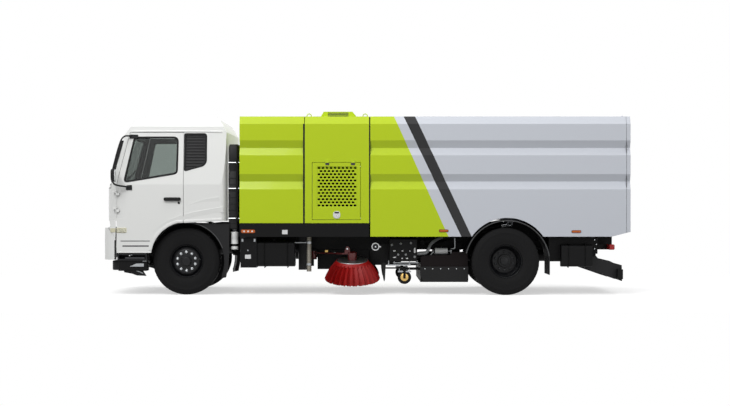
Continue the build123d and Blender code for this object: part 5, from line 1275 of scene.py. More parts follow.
@dataclass(frozen=True)
class BodyLines:
    """Lines of the body over the frame: its joints, its section's corners and the marker lamps' middles."""

    joints: tuple = ((-0.975, 0.028), (0.050, 0.018))
    section: tuple = ((1.126, 1.2485), (2.672, 1.2485), (2.7905, 1.1300))
    hopper_lamps: tuple = ((1.204, 1.007), (3.270, 0.995))
    sill_lamp: tuple = (-1.8445, 0.998)


class Body:
    """Dress of the tank, housing, sill, hopper and tailgate."""

    def __init__(self, lines: BodyLines = BodyLines()) -> None:
        self.lines = lines

    def build(self) -> None:
        """Makes the sill's, housing's, hopper's and tailgate's pieces."""
        self.sill().both().build("sill_dress", "chassis", "chassis_paint",
                                 (AMBER_LENS, PALE_PLATE, RUBBER, BRIGHT_STEEL))
        self.housing().build("housing_dress", "chassis", "green_paint", (LIME_ENAMEL, CHARCOAL_AND_GROOVE_SHADE, RUBBER))
        self.hopper_lamps().both().build("hopper_markers", "hopper", "lamp_red", (AMBER_LENS, RUBBER, PALE_PLATE))
        self.tailgate().build("tailgate_dress", "tailgate", "silver_paint",
                              (ZINC, RUBBER, RED_LENS, SILVER_ENAMEL, BRIGHT_STEEL))

    def marker(self, x: float, z: float, face: float) -> Skin:
        """A long oval reflex marker on a rubber base."""
        place = facing((x, -face, z))
        made = Skin()
        made.loft(rounded(0.152, 0.044, 0.018, 6), place, [(1.0, -0.002), (1.0, 0.004), (0.96, 0.006)], paint=1)
        return made.loft(rounded(0.140, 0.034, 0.0165, 6), place, [(1.0, 0.004), (1.0, 0.0075), (0.9, 0.0095),
                                                                   (0.5, 0.0100), (0.0, 0.0100)])

    def sill(self) -> Skin:
        """The oval end marker with three pale reflex dots, a blank plate, and the sill's bolts."""
        x, z = self.lines.sill_lamp
        place = facing((x, SILL_FACE_Y, z))
        made = Skin().loft(rounded(0.219, 0.052, 0.025, 6), place,
                           [(1.0, -0.001), (1.0, 0.0025), (0.95, 0.0042), (0.0, 0.0045)])
        for shift in (-0.062, 0.0, 0.062):
            made.lathe([(0.0, 0.0060), (0.012, 0.0052), (0.014, 0.0040)], (x + shift, -1.2450, z), turns=16, paint=1)
        made.prism(rounded(0.086, 0.068, 0.006, 3), facing((-1.272, SILL_FACE_Y, 0.986)), 0.0025, 0.0006, 1)
        bolt = Skin().lathe([(0.0, 0.0050), (0.007, 0.0048), (0.008, 0.0)], ORIGIN, UPWARD, 6)
        spots = [facing((at, SILL_FACE_Y, 1.095)) for at in np.arange(-1.90, 0.02, 0.24)]
        return made.copies(bolt, spots, paint=2)

    def housing(self) -> Skin:
        """Rubber joints beside the engine housing, its roof cowl's louvres, and lifting eyes."""
        made = Skin()
        section = np.array(self.lines.section)
        for x, width in self.lines.joints:
            half = on_cut(np.stack([-section[:, 1] - 0.0012, section[:, 0]], 1), x)
            path = np.concatenate([half, half[::-1] * [1, -1, 1]])
            made.sweep(rounded(0.003, width, 0.001, 2), path, up=REARWARD, paint=2)
        for side in (-1, 1):
            for z in np.linspace(2.815, 2.885, 4):
                made.slab((-0.62, side * 0.5195, z - 0.006), (-0.29, side * 0.5235, z + 0.006), 0.002, paint=1)
        eye = ((-0.035, 2.790), (-0.03, 2.824), (0.0, 2.840), (0.03, 2.824), (0.035, 2.790))
        for x, y in ((-0.90, -1.05), (-0.90, 1.05), (-0.02, -1.05), (-0.02, 1.05)):
            made.tube([(x + along, y, z) for along, z in eye], 0.007, 22, 8)
        return made

    def hopper_lamps(self) -> Skin:
        """Two oval markers on the skirt."""
        made = Skin()
        for x, z in self.lines.hopper_lamps:
            made.add(self.marker(x, z, 1.2498))
        return made

    def tailgate(self) -> Skin:
        """Seal round the gate, hook locks with pull rods at both sides, lamps and a blank plate."""
        made = Skin()
        ring = rounded_path([(-1.235, 1.02), (1.235, 1.02), (1.235, 2.665), (1.13, 2.775), (-1.13, 2.775),
                             (-1.235, 2.665)], 0.03, 5)
        made.sweep(rounded(0.012, 0.004, 0.001, 2), on_cut(ring, 4.0535), True, REARWARD, paint=1)
        for side in (-1, 1):
            y = side * 1.14
            for z in (1.32, 1.86, 2.40):
                made.loft(rounded(0.060, 0.120, 0.012, 4), facing((4.112, y, z), REARWARD),
                          [(1.0, -0.006), (1.0, 0.0008), (0.9, 0.0032), (0.0, 0.0034)])
            made.tube([(4.108, y, 1.10), (4.108, y, 2.56)], 0.0065, sides=8, paint=4)
            made.loft(rounded(0.30, 0.100, 0.018, 5), facing((4.1135, side * 0.92, 1.115), REARWARD),
                      [(1.0, -0.010), (1.0, 0.0012), (0.97, 0.0032), (0.0, 0.0034)], paint=2)
        made.prism(BLANK_PLATE, facing((4.1125, 0.0, 1.20), REARWARD), 0.0032, 0.0008, paint=3)
        return made


# ---- nose and steps -------------------------------------------------------------------------------------------
@dataclass(frozen=True)
class NoseSizes:
    """Where the bumper's lamp bowls, washing bar with its jets, lower lip and number plate lie.

    Attributes:
        bar_half: half the length of the washing bar between its wings.
        jet_pitch: distance from jet to jet along the bar.
        lip_plan: corners of the lower lip seen from above, rounded by lip_radii.
    """

    lamp_z: float = 0.875
    bowls_y: tuple[float, float] = (-0.775, -0.875)
    bowl_x: float = -4.042
    bar_x: float = -3.700
    bar_z: float = 0.470
    bar_half: float = 1.05
    jet_pitch: float = 0.16
    wing_y: float = 1.072
    lip_plan: tuple = ((-3.895, -1.045), (-3.985, -1.045), (-3.985, 1.045), (-3.895, 1.045))
    lip_radii: tuple = (0.001, 0.075, 0.075, 0.001)
    lip_z: float = 0.4605
    plate: Point = (-4.1148, 0.0, 0.905)


class Nose:
    """Bumper dress: lamps, lower lip, washing bar, steps."""

    def __init__(self, sizes: NoseSizes = NoseSizes()) -> None:
        self.sizes = sizes

    def build(self) -> None:
        """Makes the pieces on the bumper and under the doors."""
        self.lip().build("front_lip", "chassis", "black_plastic", (BLACK_PLASTIC, ZINC, PALE_PLATE, RUBBER),
                         ("front_spray_bar",))
        self.steps().both().build("step_dress", "chassis", "chassis_paint", (CHASSIS_BLACK, ZINC, PALE_PLATE, CHARCOAL_AND_GROOVE_SHADE))
        self.lamps().both().build("headlamp_bowls", "chassis", "lamp_clear", (BRIGHT_STEEL, BLACK_PLASTIC, AMBER_LENS),
                                  ("headlamps",))
        self.lamp_cover().both().build("headlamp_covers", "chassis", "lamp_clear", (CLEAR_LENS,))
        edging = Skin().sweep(rounded(0.003, 0.026, 0.001, 2),
                              [(-3.9225, -1.2010, 0.556), (-3.9225, -1.2010, 0.860)], up=REARWARD)
        edging.both().build("bumper_edging", "chassis", "black_plastic", (RUBBER,))
        plate = Skin().prism(BLANK_PLATE, facing(self.sizes.plate, FORWARD), 0.0025, 0.0008)
        plate.build("front_plate", "chassis", "white_paint", (PALE_PLATE,))

    def lamp_cover(self) -> Skin:
        """The left lamp's clear cover, bulged by a parabola across times a parabola upwards."""
        y, z = np.meshgrid(np.linspace(-0.984, -0.696, 12), np.linspace(0.806, 0.944, 8))
        bulge = 0.0035 * (1 - ((y + 0.84) / 0.15) ** 2) * (1 - ((z - 0.875) / 0.07) ** 2)
        outer = np.stack([-4.109 - bulge, y, z], -1)
        return Skin().solid(np.concatenate([outer, (outer + [0.003, 0, 0])[:, ::-1]], 1))

    def lamps(self) -> Skin:
        """The left lamp: a dark surround, two turned bowls with bulb shields and an amber end."""
        made = Skin()
        x, z = self.sizes.bowl_x, self.sizes.lamp_z
        made.prism(rounded(0.288, 0.136, 0.030, 5), facing((-4.030, -0.840, z), FORWARD), 0.012, 0.002, 1)
        bowl = [(0.0, 0.014), (0.010, 0.016), (0.022, 0.024), (0.034, 0.040), (0.043, 0.062), (0.0445, 0.062),
                (0.036, 0.036), (0.022, 0.018), (0.0, 0.010)]
        shield = [(0.0, 0.046), (0.010, 0.044), (0.012, 0.030), (0.006, 0.014)]
        for y in self.sizes.bowls_y:
            made.lathe(bowl, (x, y, z), FORWARD, 36).lathe(shield, (x, y, z), FORWARD, 20)
        return made.loft(rounded(0.060, 0.110, 0.022, 5), facing((x, -0.949, z), FORWARD),
                         [(1.0, 0.0), (1.0, 0.052), (0.9, 0.060), (0.0, 0.062)], paint=2)

    def lip(self) -> Skin:
        """The deep black lip that wraps the nose, the washing bar behind it, its jets and side nozzles."""
        s = self.sizes
        made = Skin()
        path = np.insert(rounded_path(s.lip_plan, s.lip_radii, 8), 2, s.lip_z, axis=1)
        made.sweep(rounded(0.030, 0.148, 0.014, 4), path)
        for y in (-0.39, 0.39):
            made.slab((-3.985, y - 0.018, 0.456), (-3.690, y + 0.018, 0.484), 0.004)
            made.slab((-3.900, y - 0.018, 0.456), (-3.845, y + 0.018, 0.692), 0.004)
        made.tube([(s.bar_x, -s.bar_half, s.bar_z), (s.bar_x, s.bar_half, s.bar_z)], 0.026, sides=20)
        jet = Skin().lathe([(0.0, 0.0), (0.013, 0.0), (0.013, 0.032), (0.009, 0.036), (0.007, 0.052), (0.0, 0.052)],
                           ORIGIN, UPWARD, 10)
        made.copies(jet, [facing((s.bar_x, y, s.bar_z - 0.014), (-0.35, 0.0, -0.93), RIGHTWARD)
                          for y in np.arange(-0.96, 1.0, s.jet_pitch)], paint=1)
        wing = [(-3.836, 0.438), (-3.640, 0.430), (-3.560, 0.400), (-3.500, 0.372), (-3.452, 0.296), (-3.600, 0.302),
                (-3.680, 0.330), (-3.800, 0.352)]
        for side in (-1, 1):
            y = side * s.wing_y
            made.sheet(wing[::-1], y, -0.010 * side, 0.0015)
            made.tube([(-3.812, y - 0.012, 0.424), (-3.700, y - 0.014, 0.404), (-3.580, y - 0.012, 0.372),
                       (-3.505, y - 0.010, 0.338)], 0.011, 20, 10, paint=1)
            made.tube([(s.bar_x, side * 1.045, s.bar_z), (s.bar_x, y, s.bar_z - 0.040)], 0.015, sides=10)
            made.lathe([(0.0, 0.030), (0.012, 0.028), (0.017, 0.010), (0.017, 0.0)], (-3.826, y - 0.012, 0.426),
                       (-0.93, 0.0, -0.35), 14, paint=2)
        return made

    def steps(self) -> Skin:
        """The lower step, tread strips, silver plate and small fittings under the left door."""
        made = Skin()
        made.slab((-3.880, -1.168, 0.378), (-3.432, -1.140, 0.5405), 0.006)
        made.slab((-3.880, -1.168, 0.378), (-3.432, -0.930, 0.396), 0.006)
        for x in (-3.872, -3.444):
            made.slab((x - 0.006, -1.160, 0.388), (x + 0.006, -0.905, 0.5405), 0.002)
        for x in -3.84 + np.arange(7) * 0.062:
            made.slab((x, -1.160, 0.396), (x + 0.030, -0.950, 0.4005), 0.001, paint=3)
        made.slab((-3.769, -1.1935, 0.571), (-3.468, -1.1890, 0.591), 0.002, paint=3)
        made.sheet([(-3.703, 0.446), (-3.481, 0.446), (-3.481, 0.494), (-3.600, 0.492)], -1.1675, 0.004, 0.0008, 1)
        made.slab((-3.500, -1.1725, 0.527), (-3.436, -1.1670, 0.536), 0.001, paint=1)
        made.lathe([(0.0, 0.012), (0.009, 0.010), (0.012, 0.0)], (-3.700, -1.1895, 0.618), turns=12, paint=2)
        made.lathe([(0.0, 0.010), (0.006, 0.008), (0.008, 0.0)], (-3.665, -1.1895, 0.628), turns=12, paint=1)
        return made


# ---- under the frame ------------------------------------------------------------------------------------------
@dataclass(frozen=True)
class HungSizes:
    """Feet and middles of what hangs between the axles, and the valve chest's outlets and knobs.

    Attributes:
        ridge: spacing of the filler pipe's ridges.
        outlets: (x, z, width) of the chest's oval outlets.
        knobs: (x, z) of its round knobs.
    """

    intake: Point = (-2.083, -0.925, 1.030)
    canister: Point = (-2.070, -1.060, 0.709)
    post: Point = (-0.9015, -1.050, 0.371)
    post_high: float = 0.530
    ridge: float = 0.0265
    port: Point = (0.141, -1.150, 0.756)
    caster: Point = (0.601, -0.860, 0.265)
    caster_guard: float = 0.1235
    drum: Point = (1.084, -0.900, 0.680)
    drum_long: float = 0.198
    pleats: int = 14
    outlets: tuple = ((0.441, 0.686, 0.036), (0.567, 0.684, 0.030), (0.686, 0.682, 0.020), (0.443, 0.582, 0.040),
                      (0.562, 0.566, 0.022), (0.640, 0.566, 0.034))
    knobs: tuple = ((0.500, 0.626), (0.620, 0.626), (0.760, 0.590), (0.400, 0.780), (0.540, 0.800), (0.700, 0.810))


class Underbody:
    """Dress from the cab's rear to the hopper: intake, canister, straps, post, valve chest, nozzle and arms."""

    def __init__(self, sizes: HungSizes = HungSizes()) -> None:
        self.sizes = sizes

    def build(self) -> None:
        """Makes the left side's fixed pieces, then those that move with the nozzle, brush arms and casters."""
        self.canister().build("canister_look", "chassis", "white_paint",
                              (WHITE_ENAMEL, BLACK_PLASTIC, GREY_PLASTIC, CHASSIS_BLACK), ("air_canister",))
        self.boxes().build("box_dress", "chassis", "chassis_paint", (CHASSIS_BLACK, ZINC, PALE_PLATE, BRIGHT_STEEL))
        self.post().build("filler_post", "chassis", "zinc", (WEATHERED_STEEL, CHASSIS_BLACK, ZINC))
        self.chest().build("valve_chest", "chassis", "chassis_paint",
                           (CHASSIS_BLACK, PALE_PLATE, ZINC, GREY_PLASTIC, RED_ENAMEL))
        self.port().build("port_ring", "chassis", "white_paint", (PALE_PLATE, BRIGHT_STEEL, RUBBER))
        self.intake().build("intake_stack", "chassis", "black_plastic", (BLACK_PLASTIC, BRIGHT_STEEL))
        self.nozzle().both().build("nozzle_dress", "nozzle", "chassis_paint",
                                   (RUBBER, ZINC, BROWN_RUBBER, BRIGHT_STEEL))
        for side in Side:
            self.arm().on(side).build(f"arm_dress_{side.word}", f"brush_arm_{side.word}", "red_paint",
                                      (RED_ENAMEL, BRASS, BRIGHT_STEEL, RUBBER))
            name = f"caster_{side.word}"
            self.caster().on(side).build(name + "_look", name, "tyre_rubber", (TYRE_RUBBER, BRASS), (name,))

    def caster(self) -> Skin:
        """The nozzle's left caster wheel: a solid tyre on its disc, with a brass hub cap."""
        half = [(0.0, 0.031), (0.022, 0.031), (0.026, 0.024), (0.060, 0.020), (0.070, 0.030), (0.098, 0.0305),
                (0.1065, 0.024), (0.1079, 0.010)]
        made = Skin().lathe(half + [(radius, -out) for radius, out in half[::-1]], self.sizes.caster)
        return made.lathe([(0.0, 0.0325), (0.018, 0.0325), (0.024, 0.030), (0.056, 0.0255), (0.062, 0.0225)],
                          self.sizes.caster, turns=36, paint=1)

    def intake(self) -> Skin:
        """The engine's air intake behind the cab, with its ribs, cap and three clamp bars to the tank's wall."""
        made = Skin()
        outline = rounded(0.150, 0.420, 0.030, 5)
        made.loft(outline, facing(self.sizes.intake, UPWARD, RIGHTWARD),
                  [(0.90, 0.0), (1.0, 0.02), (1.0, 0.88), (0.94, 0.90), (0.94, 0.93), (1.0, 0.95), (0.98, 1.29),
                   (0.85, 1.33), (0.0, 1.335)])
        for z in np.linspace(1.12, 1.82, 8):
            rib = facing((*self.sizes.intake[:2], z), UPWARD, RIGHTWARD)
            made.loft(outline, rib, [(0.99, 0.0), (1.025, 0.003), (1.025, 0.012), (0.99, 0.015)])
        for z in (1.200, 1.667, 2.073):
            made.tube([(-2.160, -1.150, z), (-1.982, -1.150, z)], 0.008, sides=8, paint=1)
            made.slab((-2.163, -1.152, z - 0.013), (-2.157, -0.900, z + 0.013), 0.001, paint=1)
        return made

    def canister(self) -> Skin:
        """A white canister with a black band and a grey cap, on its stay from the rail."""
        profile = [(0.0, 0.0), (0.052, 0.0), (0.058, 0.007), (0.058, 0.150), (0.0572, 0.152), (0.0572, 0.158),
                   (0.058, 0.160), (0.058, 0.268), (0.054, 0.279), (0.044, 0.281)]
        rim = [(0.044, 0.281), (0.0445, 0.283), (0.0445, 0.300), (0.041, 0.302)]
        cap = [(0.041, 0.302), (0.040, 0.306), (0.040, 0.330), (0.034, 0.340), (0.0, 0.3428)]
        clamp = [(0.0575, 0.052), (0.0596, 0.054), (0.0596, 0.088), (0.0575, 0.090)]
        foot = self.sizes.canister
        made = Skin()
        for paint, turned in enumerate((profile, rim, cap)):
            made.lathe(turned, foot, UPWARD, 40, paint)
        made.slab((-2.095, -1.010, 0.760), (-2.045, RAIL_FACE_Y, 0.800), 0.004, paint=3)
        return made.lathe(clamp, foot, UPWARD, 40, paint=3)

    def boxes(self) -> Skin:
        """Fuel tank's straps and cap, battery box's lid, latch and blank plate, rear tank's straps and hanger."""
        made = Skin()
        for x in (-1.600, -1.240):
            self.strap(made, x, (-1.1325, 0.4415), (-0.6375, 0.8525), 0.072, 0.044)
        made.lathe([(0.0, 0.036), (0.036, 0.034), (0.042, 0.024), (0.042, 0.0)], (-1.450, -0.980, 0.849), UPWARD, 28)
        made.prism(rounded(0.235, 0.455, 0.012, 4), facing((-1.8455, -1.1600, 0.667)), 0.005, 0.002)
        made.prism(rounded(0.092, 0.064, 0.006, 3), facing((-1.854, -1.1649, 0.600)), 0.002, 0.0005, paint=2)
        made.lathe([(0.0, 0.006), (0.010, 0.005), (0.012, 0.0)], (-1.854, -1.1649, 0.700), turns=14, paint=1)
        for x in (-1.94, -1.75):
            made.slab((x - 0.014, -1.1685, 0.835), (x + 0.014, -1.1640, 0.880), 0.003, paint=1)
        for x in (3.160, 3.420):
            self.strap(made, x, (-1.1825, 0.4415), (-0.9975, 0.7895), 0.042, 0.030)
        bolt = Skin().lathe([(0.0, 0.013), (0.008, 0.0125), (0.011, 0.009), (0.012, 0.0)], ORIGIN, UPWARD, 6)
        made.slab((3.574, -0.998, 0.640), (3.640, -0.990, 0.900), 0.003)
        made.slab((3.574, -0.992, 0.700), (3.640, -0.430, 0.712), 0.003)
        spots = [facing((x, -0.9975, z)) for x, z in ((3.592, 0.860), (3.620, 0.790), (3.592, 0.720))]
        made.copies(bolt, spots, paint=3)
        made.slab((3.578, -0.905, 0.709), (3.800, -0.897, 0.790), 0.004)
        return made

    @staticmethod
    def strap(made: Skin, x: float, low: tuple, high: tuple, radius: float, width: float) -> None:
        """Adds a steel strap round a tank between its low and high (y, z) corners."""
        (y0, z0), (y1, z1) = low, high
        ring = rounded_path([(y0, z0), (y1, z0), (y1, z1), (y0, z1)], radius, 8)
        made.sweep(rounded(width, 0.003, 0.001, 2), on_cut(ring, x), True, (1.0, 0.0, 0.0001))

    def post(self) -> Skin:
        """The tall corrugated filler pipe beside the fuel tank on its two brackets, with a dark skirt behind."""
        s = self.sizes
        z = np.linspace(0.0, s.post_high, 107)
        radius = 0.0365 + 0.0026 * np.cos(z / s.ridge * TAU)
        profile = np.column_stack([np.concatenate([[0.0, 0.036], radius, [0.036, 0.0]]),
                                   np.concatenate([[-0.006, -0.006], z, [0.536, 0.536]])])
        made = Skin().lathe(profile, s.post, UPWARD, 28)
        for height in (0.46, 0.80):
            made.lathe([(0.0385, 0.0), (0.0415, 0.0), (0.0415, 0.034), (0.0385, 0.034)], (*s.post[:2], height),
                       UPWARD, 28, paint=2)
            made.slab((-0.955, -1.022, height + 0.004), (-0.935, -0.432, height + 0.030), 0.003, paint=1)
            made.slab((-0.955, -1.040, height + 0.004), (-0.920, -1.010, height + 0.030), 0.003, paint=1)
        made.slab((-0.958, -0.436, 0.455), (-0.930, -0.430, 0.850), 0.002, paint=1)
        made.slab((-0.790, -0.402, 0.372), (0.130, -0.394, 0.745), 0.004, paint=1)
        made.tube([(-1.128, -1.055, 0.819), (-1.040, -1.056, 0.819), (-0.938, -1.050, 0.819)], 0.0085, 10, 8, paint=2)
        return made

    def chest(self) -> Skin:
        """The water valve chest: outlets in two rows, pipes, a pleated filter drum and its risers."""
        s = self.sizes
        made = Skin().slab((0.360, -0.985, 0.520), (0.800, -0.560, 0.880), 0.014)
        for x in (0.420, 0.680):
            made.slab((x, -0.560, 0.700), (x + 0.060, RAIL_FACE_Y, 0.760), 0.004)
        for x, z, wide in s.outlets:
            made.loft(rounded(wide, 0.019, 0.009, 4), facing((x, CHEST_FACE_Y, z)),
                      [(1.15, 0.0), (1.15, 0.006), (1.0, 0.007), (1.0, 0.034), (0.7, 0.038), (0.0, 0.038)], paint=1)
        made.slab((0.746, -1.012, 0.652), (0.774, CHEST_FACE_Y, 0.736), 0.006, paint=1)
        for x, z in s.knobs:
            made.lathe([(0.0, 0.016), (0.015, 0.014), (0.020, 0.006), (0.020, 0.0)], (x, CHEST_FACE_Y, z), turns=12,
                       paint=3)
        for z, x0, x1 in ((0.497, 0.420, 0.820), (0.462, 0.330, 0.700)):
            made.tube([(x0, -0.930, z), (x1, -0.930, z)], 0.011, sides=10, paint=2)
            for x in (x1 - 0.02, x0 + 0.02):
                made.tube([(x, -0.930, z), (x, -0.930, 0.530)], 0.009, sides=8, paint=2)
        made.tube([(0.800, -0.900, 0.640), (0.880, -0.905, 0.640), (0.948, -0.905, 0.655), (0.985, -0.890, 0.720),
                   (1.030, -0.850, 0.800), (1.139, -0.800, 0.872), (1.200, -0.760, 0.890)], 0.026, 40, 14, paint=3)
        made.slab((1.170, -0.790, 0.860), (1.200, -0.430, 0.895), 0.003)
        along = np.linspace(0.0, 1.0, 57)
        radius = 0.0495 + 0.0035 * np.cos(along * s.pleats * TAU)
        drum = np.column_stack([np.concatenate([[0.0], radius, [0.0]]),
                                np.concatenate([[0.0], along * s.drum_long, [s.drum_long]])])
        made.lathe(drum, s.drum, REARWARD, 36, paint=1)
        made.lathe([(0.0, 0.0), (0.030, 0.0), (0.032, 0.012), (0.030, 0.024), (0.0, 0.024)], (1.066, -0.900, 0.680),
                   REARWARD, 20)
        for x in (1.120, 1.240):
            made.slab((x - 0.012, -0.905, 0.712), (x + 0.012, RAIL_FACE_Y, 0.738), 0.003)
        pipes = [[(0.984, -0.950, 0.502), (0.984, -0.950, 0.597), (1.004, -0.945, 0.606)],
                 [(1.004, -0.945, 0.606), (1.030, -0.920, 0.640), (1.075, -0.905, 0.676)]]
        for path in pipes:
            made.tube(path, 0.010, 12, 8, paint=2)
        made.tube([(1.340, -0.930, 0.640), (1.340, -0.930, 0.715), (1.395, -0.930, 0.735), (1.395, -0.930, 0.893)],
                  0.0095, 24, 8, paint=2)
        made.slab((1.330, -0.940, 0.880), (1.410, RAIL_FACE_Y, 0.896), 0.003)
        made.slab((1.324, -0.945, 0.700), (1.356, RAIL_FACE_Y, 0.716), 0.003)
        last = [(1.282, -0.900, 0.680), (1.320, -0.915, 0.676), (1.340, -0.930, 0.660)]
        return made.tube(last, 0.010, 12, 8, paint=2)

    def port(self) -> Skin:
        """The pale face ring of the filling port with its dark cover and stem, and a drain cock beside it."""
        middle = self.sizes.port
        made = Skin().lathe([(0.0455, -0.004), (0.0455, 0.004), (0.048, 0.007), (0.0585, 0.007), (0.0615, 0.004),
                             (0.0615, -0.004)], middle)
        made.lathe([(0.0, 0.003), (0.044, 0.003), (0.0455, 0.0)], middle, turns=36, paint=2)
        made.lathe([(0.0, 0.007), (0.010, 0.006), (0.013, 0.003)], middle, turns=18, paint=1)
        made.slab((0.196, -1.155, 0.744), (0.226, -1.140, 0.768), 0.004)
        made.tube([(0.211, -1.147, 0.756), (0.180, -1.120, 0.756), (0.160, -1.110, 0.756)], 0.006, 10, 8, paint=1)
        return made

    def nozzle(self) -> Skin:
        """The left skirt over the hood's side, the hood's lip, the pointed flap and the caster's guard."""
        x, y, z = self.sizes.caster
        made = Skin()
        skirt = [(0.852, 0.425), (0.852, 0.585), (0.900, 0.610), (1.030, 0.618), (1.320, 0.622), (1.345, 0.672),
                 (1.598, 0.672), (1.598, 0.425)]
        made.sheet(skirt, -0.982, 0.010, paint=2)
        low = [(0.846, 0.300), (0.900, 0.197), (1.450, 0.197), (1.604, 0.215), (1.604, 0.440), (0.846, 0.440)]
        made.sheet(low, -0.9995, 0.008)
        flap = [(0.243, 0.497), (0.252, 0.330), (0.270, 0.218), (0.281, 0.198), (0.294, 0.230), (0.302, 0.400),
                (0.310, 0.497)]
        made.sheet(flap, -0.900, 0.012)
        made.slab((0.262, -0.900, 0.400), (0.585, -0.880, 0.424), 0.003)
        arc = on_wall([x, z] + self.sizes.caster_guard * rays(np.radians(np.linspace(38, 142, 22))), y)
        made.sweep(rounded(0.064, 0.003, 0.001, 2), arc, paint=1)
        made.slab((0.497, -0.8985, 0.344), (0.706, -0.8945, 0.366), 0.002, paint=1)
        for x in (0.520, 0.682):
            made.slab((x - 0.006, -0.898, 0.360), (x + 0.006, -0.884, 0.402), 0.002, paint=1)
        for x in np.linspace(0.92, 1.54, 6):
            made.lathe([(0.0, 0.008), (0.008, 0.007), (0.011, 0.0)], (x, -1.0070, 0.405), turns=8, paint=3)
        return made

    def arm(self) -> Skin:
        """Fittings on the left brush arm: a valve block, hydraulic unions and the spindle's upright bracket."""
        made = Skin()
        made.slab((-0.664, -0.655, 0.650), (-0.614, -0.610, 0.690), 0.004, paint=1)
        made.tube([(-0.614, -0.632, 0.668), (-0.540, -0.680, 0.690), (-0.440, -0.780, 0.690), (-0.330, -0.860, 0.680)],
                  0.007, 26, 8, paint=3)
        made.lathe([(0.0, 0.014), (0.013, 0.014), (0.016, 0.010), (0.016, 0.0)], (-0.500, -0.790, 0.648), UPWARD, 6,
                   paint=2)
        upright = [(-0.352, 0.640), (-0.258, 0.640), (-0.262, 0.720), (-0.285, 0.752), (-0.318, 0.756), (-0.340, 0.700)]
        for y in (-0.905, -0.845):
            made.sheet(upright, y, 0.014, 0.002)
        made.tube([(-0.303, -0.925, 0.716), (-0.303, -0.825, 0.716)], 0.014, sides=12, paint=2)
        made.slab((-0.352, -0.918, 0.640), (-0.258, -0.845, 0.652), 0.003)
        return made


@dataclass(frozen=True)
class GuardSizes:
    """Arcs of the wheel guards' lips and of the closing plate, and the row of tail lamps.

    Attributes:
        lenses: (y, number of its paint) of each lens.
    """

    rear_middle: tuple[float, float] = (2.200, 0.507)
    rear_radius: float = 0.6585
    front_radius: float = 0.607
    closing_radius: float = 0.613
    lenses: tuple = ((-1.155, 0), (-1.065, 1), (-0.985, 2))
    lens_z: float = 0.7505


class Rear:
    """Lips and closing plates of the wheel guards, splash plates, the underrun guard's ends and lamp lenses."""

    def __init__(self, sizes: GuardSizes = GuardSizes()) -> None:
        self.sizes = sizes

    def build(self) -> None:
        """Makes both sides' pieces."""
        s = self.sizes
        made = Skin()
        turn = np.radians(np.linspace(9, 167, 60))
        lip = on_wall(s.rear_middle + s.rear_radius * rays(turn), -1.2300)
        made.sweep(rounded(0.016, 0.020, 0.004, 3), lip, up=LEFTWARD)
        wheel = np.array([FRONT_AXLE_X, TYRE_RADIUS])
        lip = on_wall(wheel + s.front_radius * rays(turn[4:52]), -1.1455)
        made.sweep(rounded(0.014, 0.012, 0.003, 3), lip, up=LEFTWARD)
        inner = wheel + s.closing_radius * rays(np.radians(np.linspace(-26, 70, 24)))
        closing = np.concatenate([inner, [(-2.480, 1.118), (-2.143, 1.116), (-2.148, 0.720), (-2.160, 0.460),
                                          (-2.196, 0.276), (-2.262, 0.262)]])
        made.sheet(closing, -1.1380, 0.010, 0.001, paint=1)
        guard = [(3.380, 0.432), (3.600, 0.625), (3.650, 0.566), (4.020, 0.462), (4.026, 0.208)]
        made.sheet(guard, -1.0, 0.008, 0.001, paint=1)
        for low, high in (((-1.081, -0.726, 0.375), (-0.885, -0.718, 0.925)),
                          ((0.060, -0.436, 0.440), (0.560, -0.428, 0.780))):
            made.slab(low, high, 0.002, paint=1)
        made.both().build("guard_lips", "chassis", "black_plastic", (GREY_RUBBER, BLACK_PLASTIC))
        lens = Skin()
        for y, paint in s.lenses:
            lens.loft(rounded(0.078, 0.070, 0.012, 5), facing((3.8665, y, s.lens_z), REARWARD),
                      [(1.0, -0.001), (1.0, 0.006), (0.94, 0.010), (0.0, 0.012)], paint=paint)
        lens.prism(rounded(0.062, 0.074, 0.010, 4), facing((3.8335, -1.1995, s.lens_z)), 0.004, 0.001)
        lens.both().build("tail_lenses", "chassis", "lamp_red", (RED_LENS, AMBER_LENS, CLEAR_LENS))


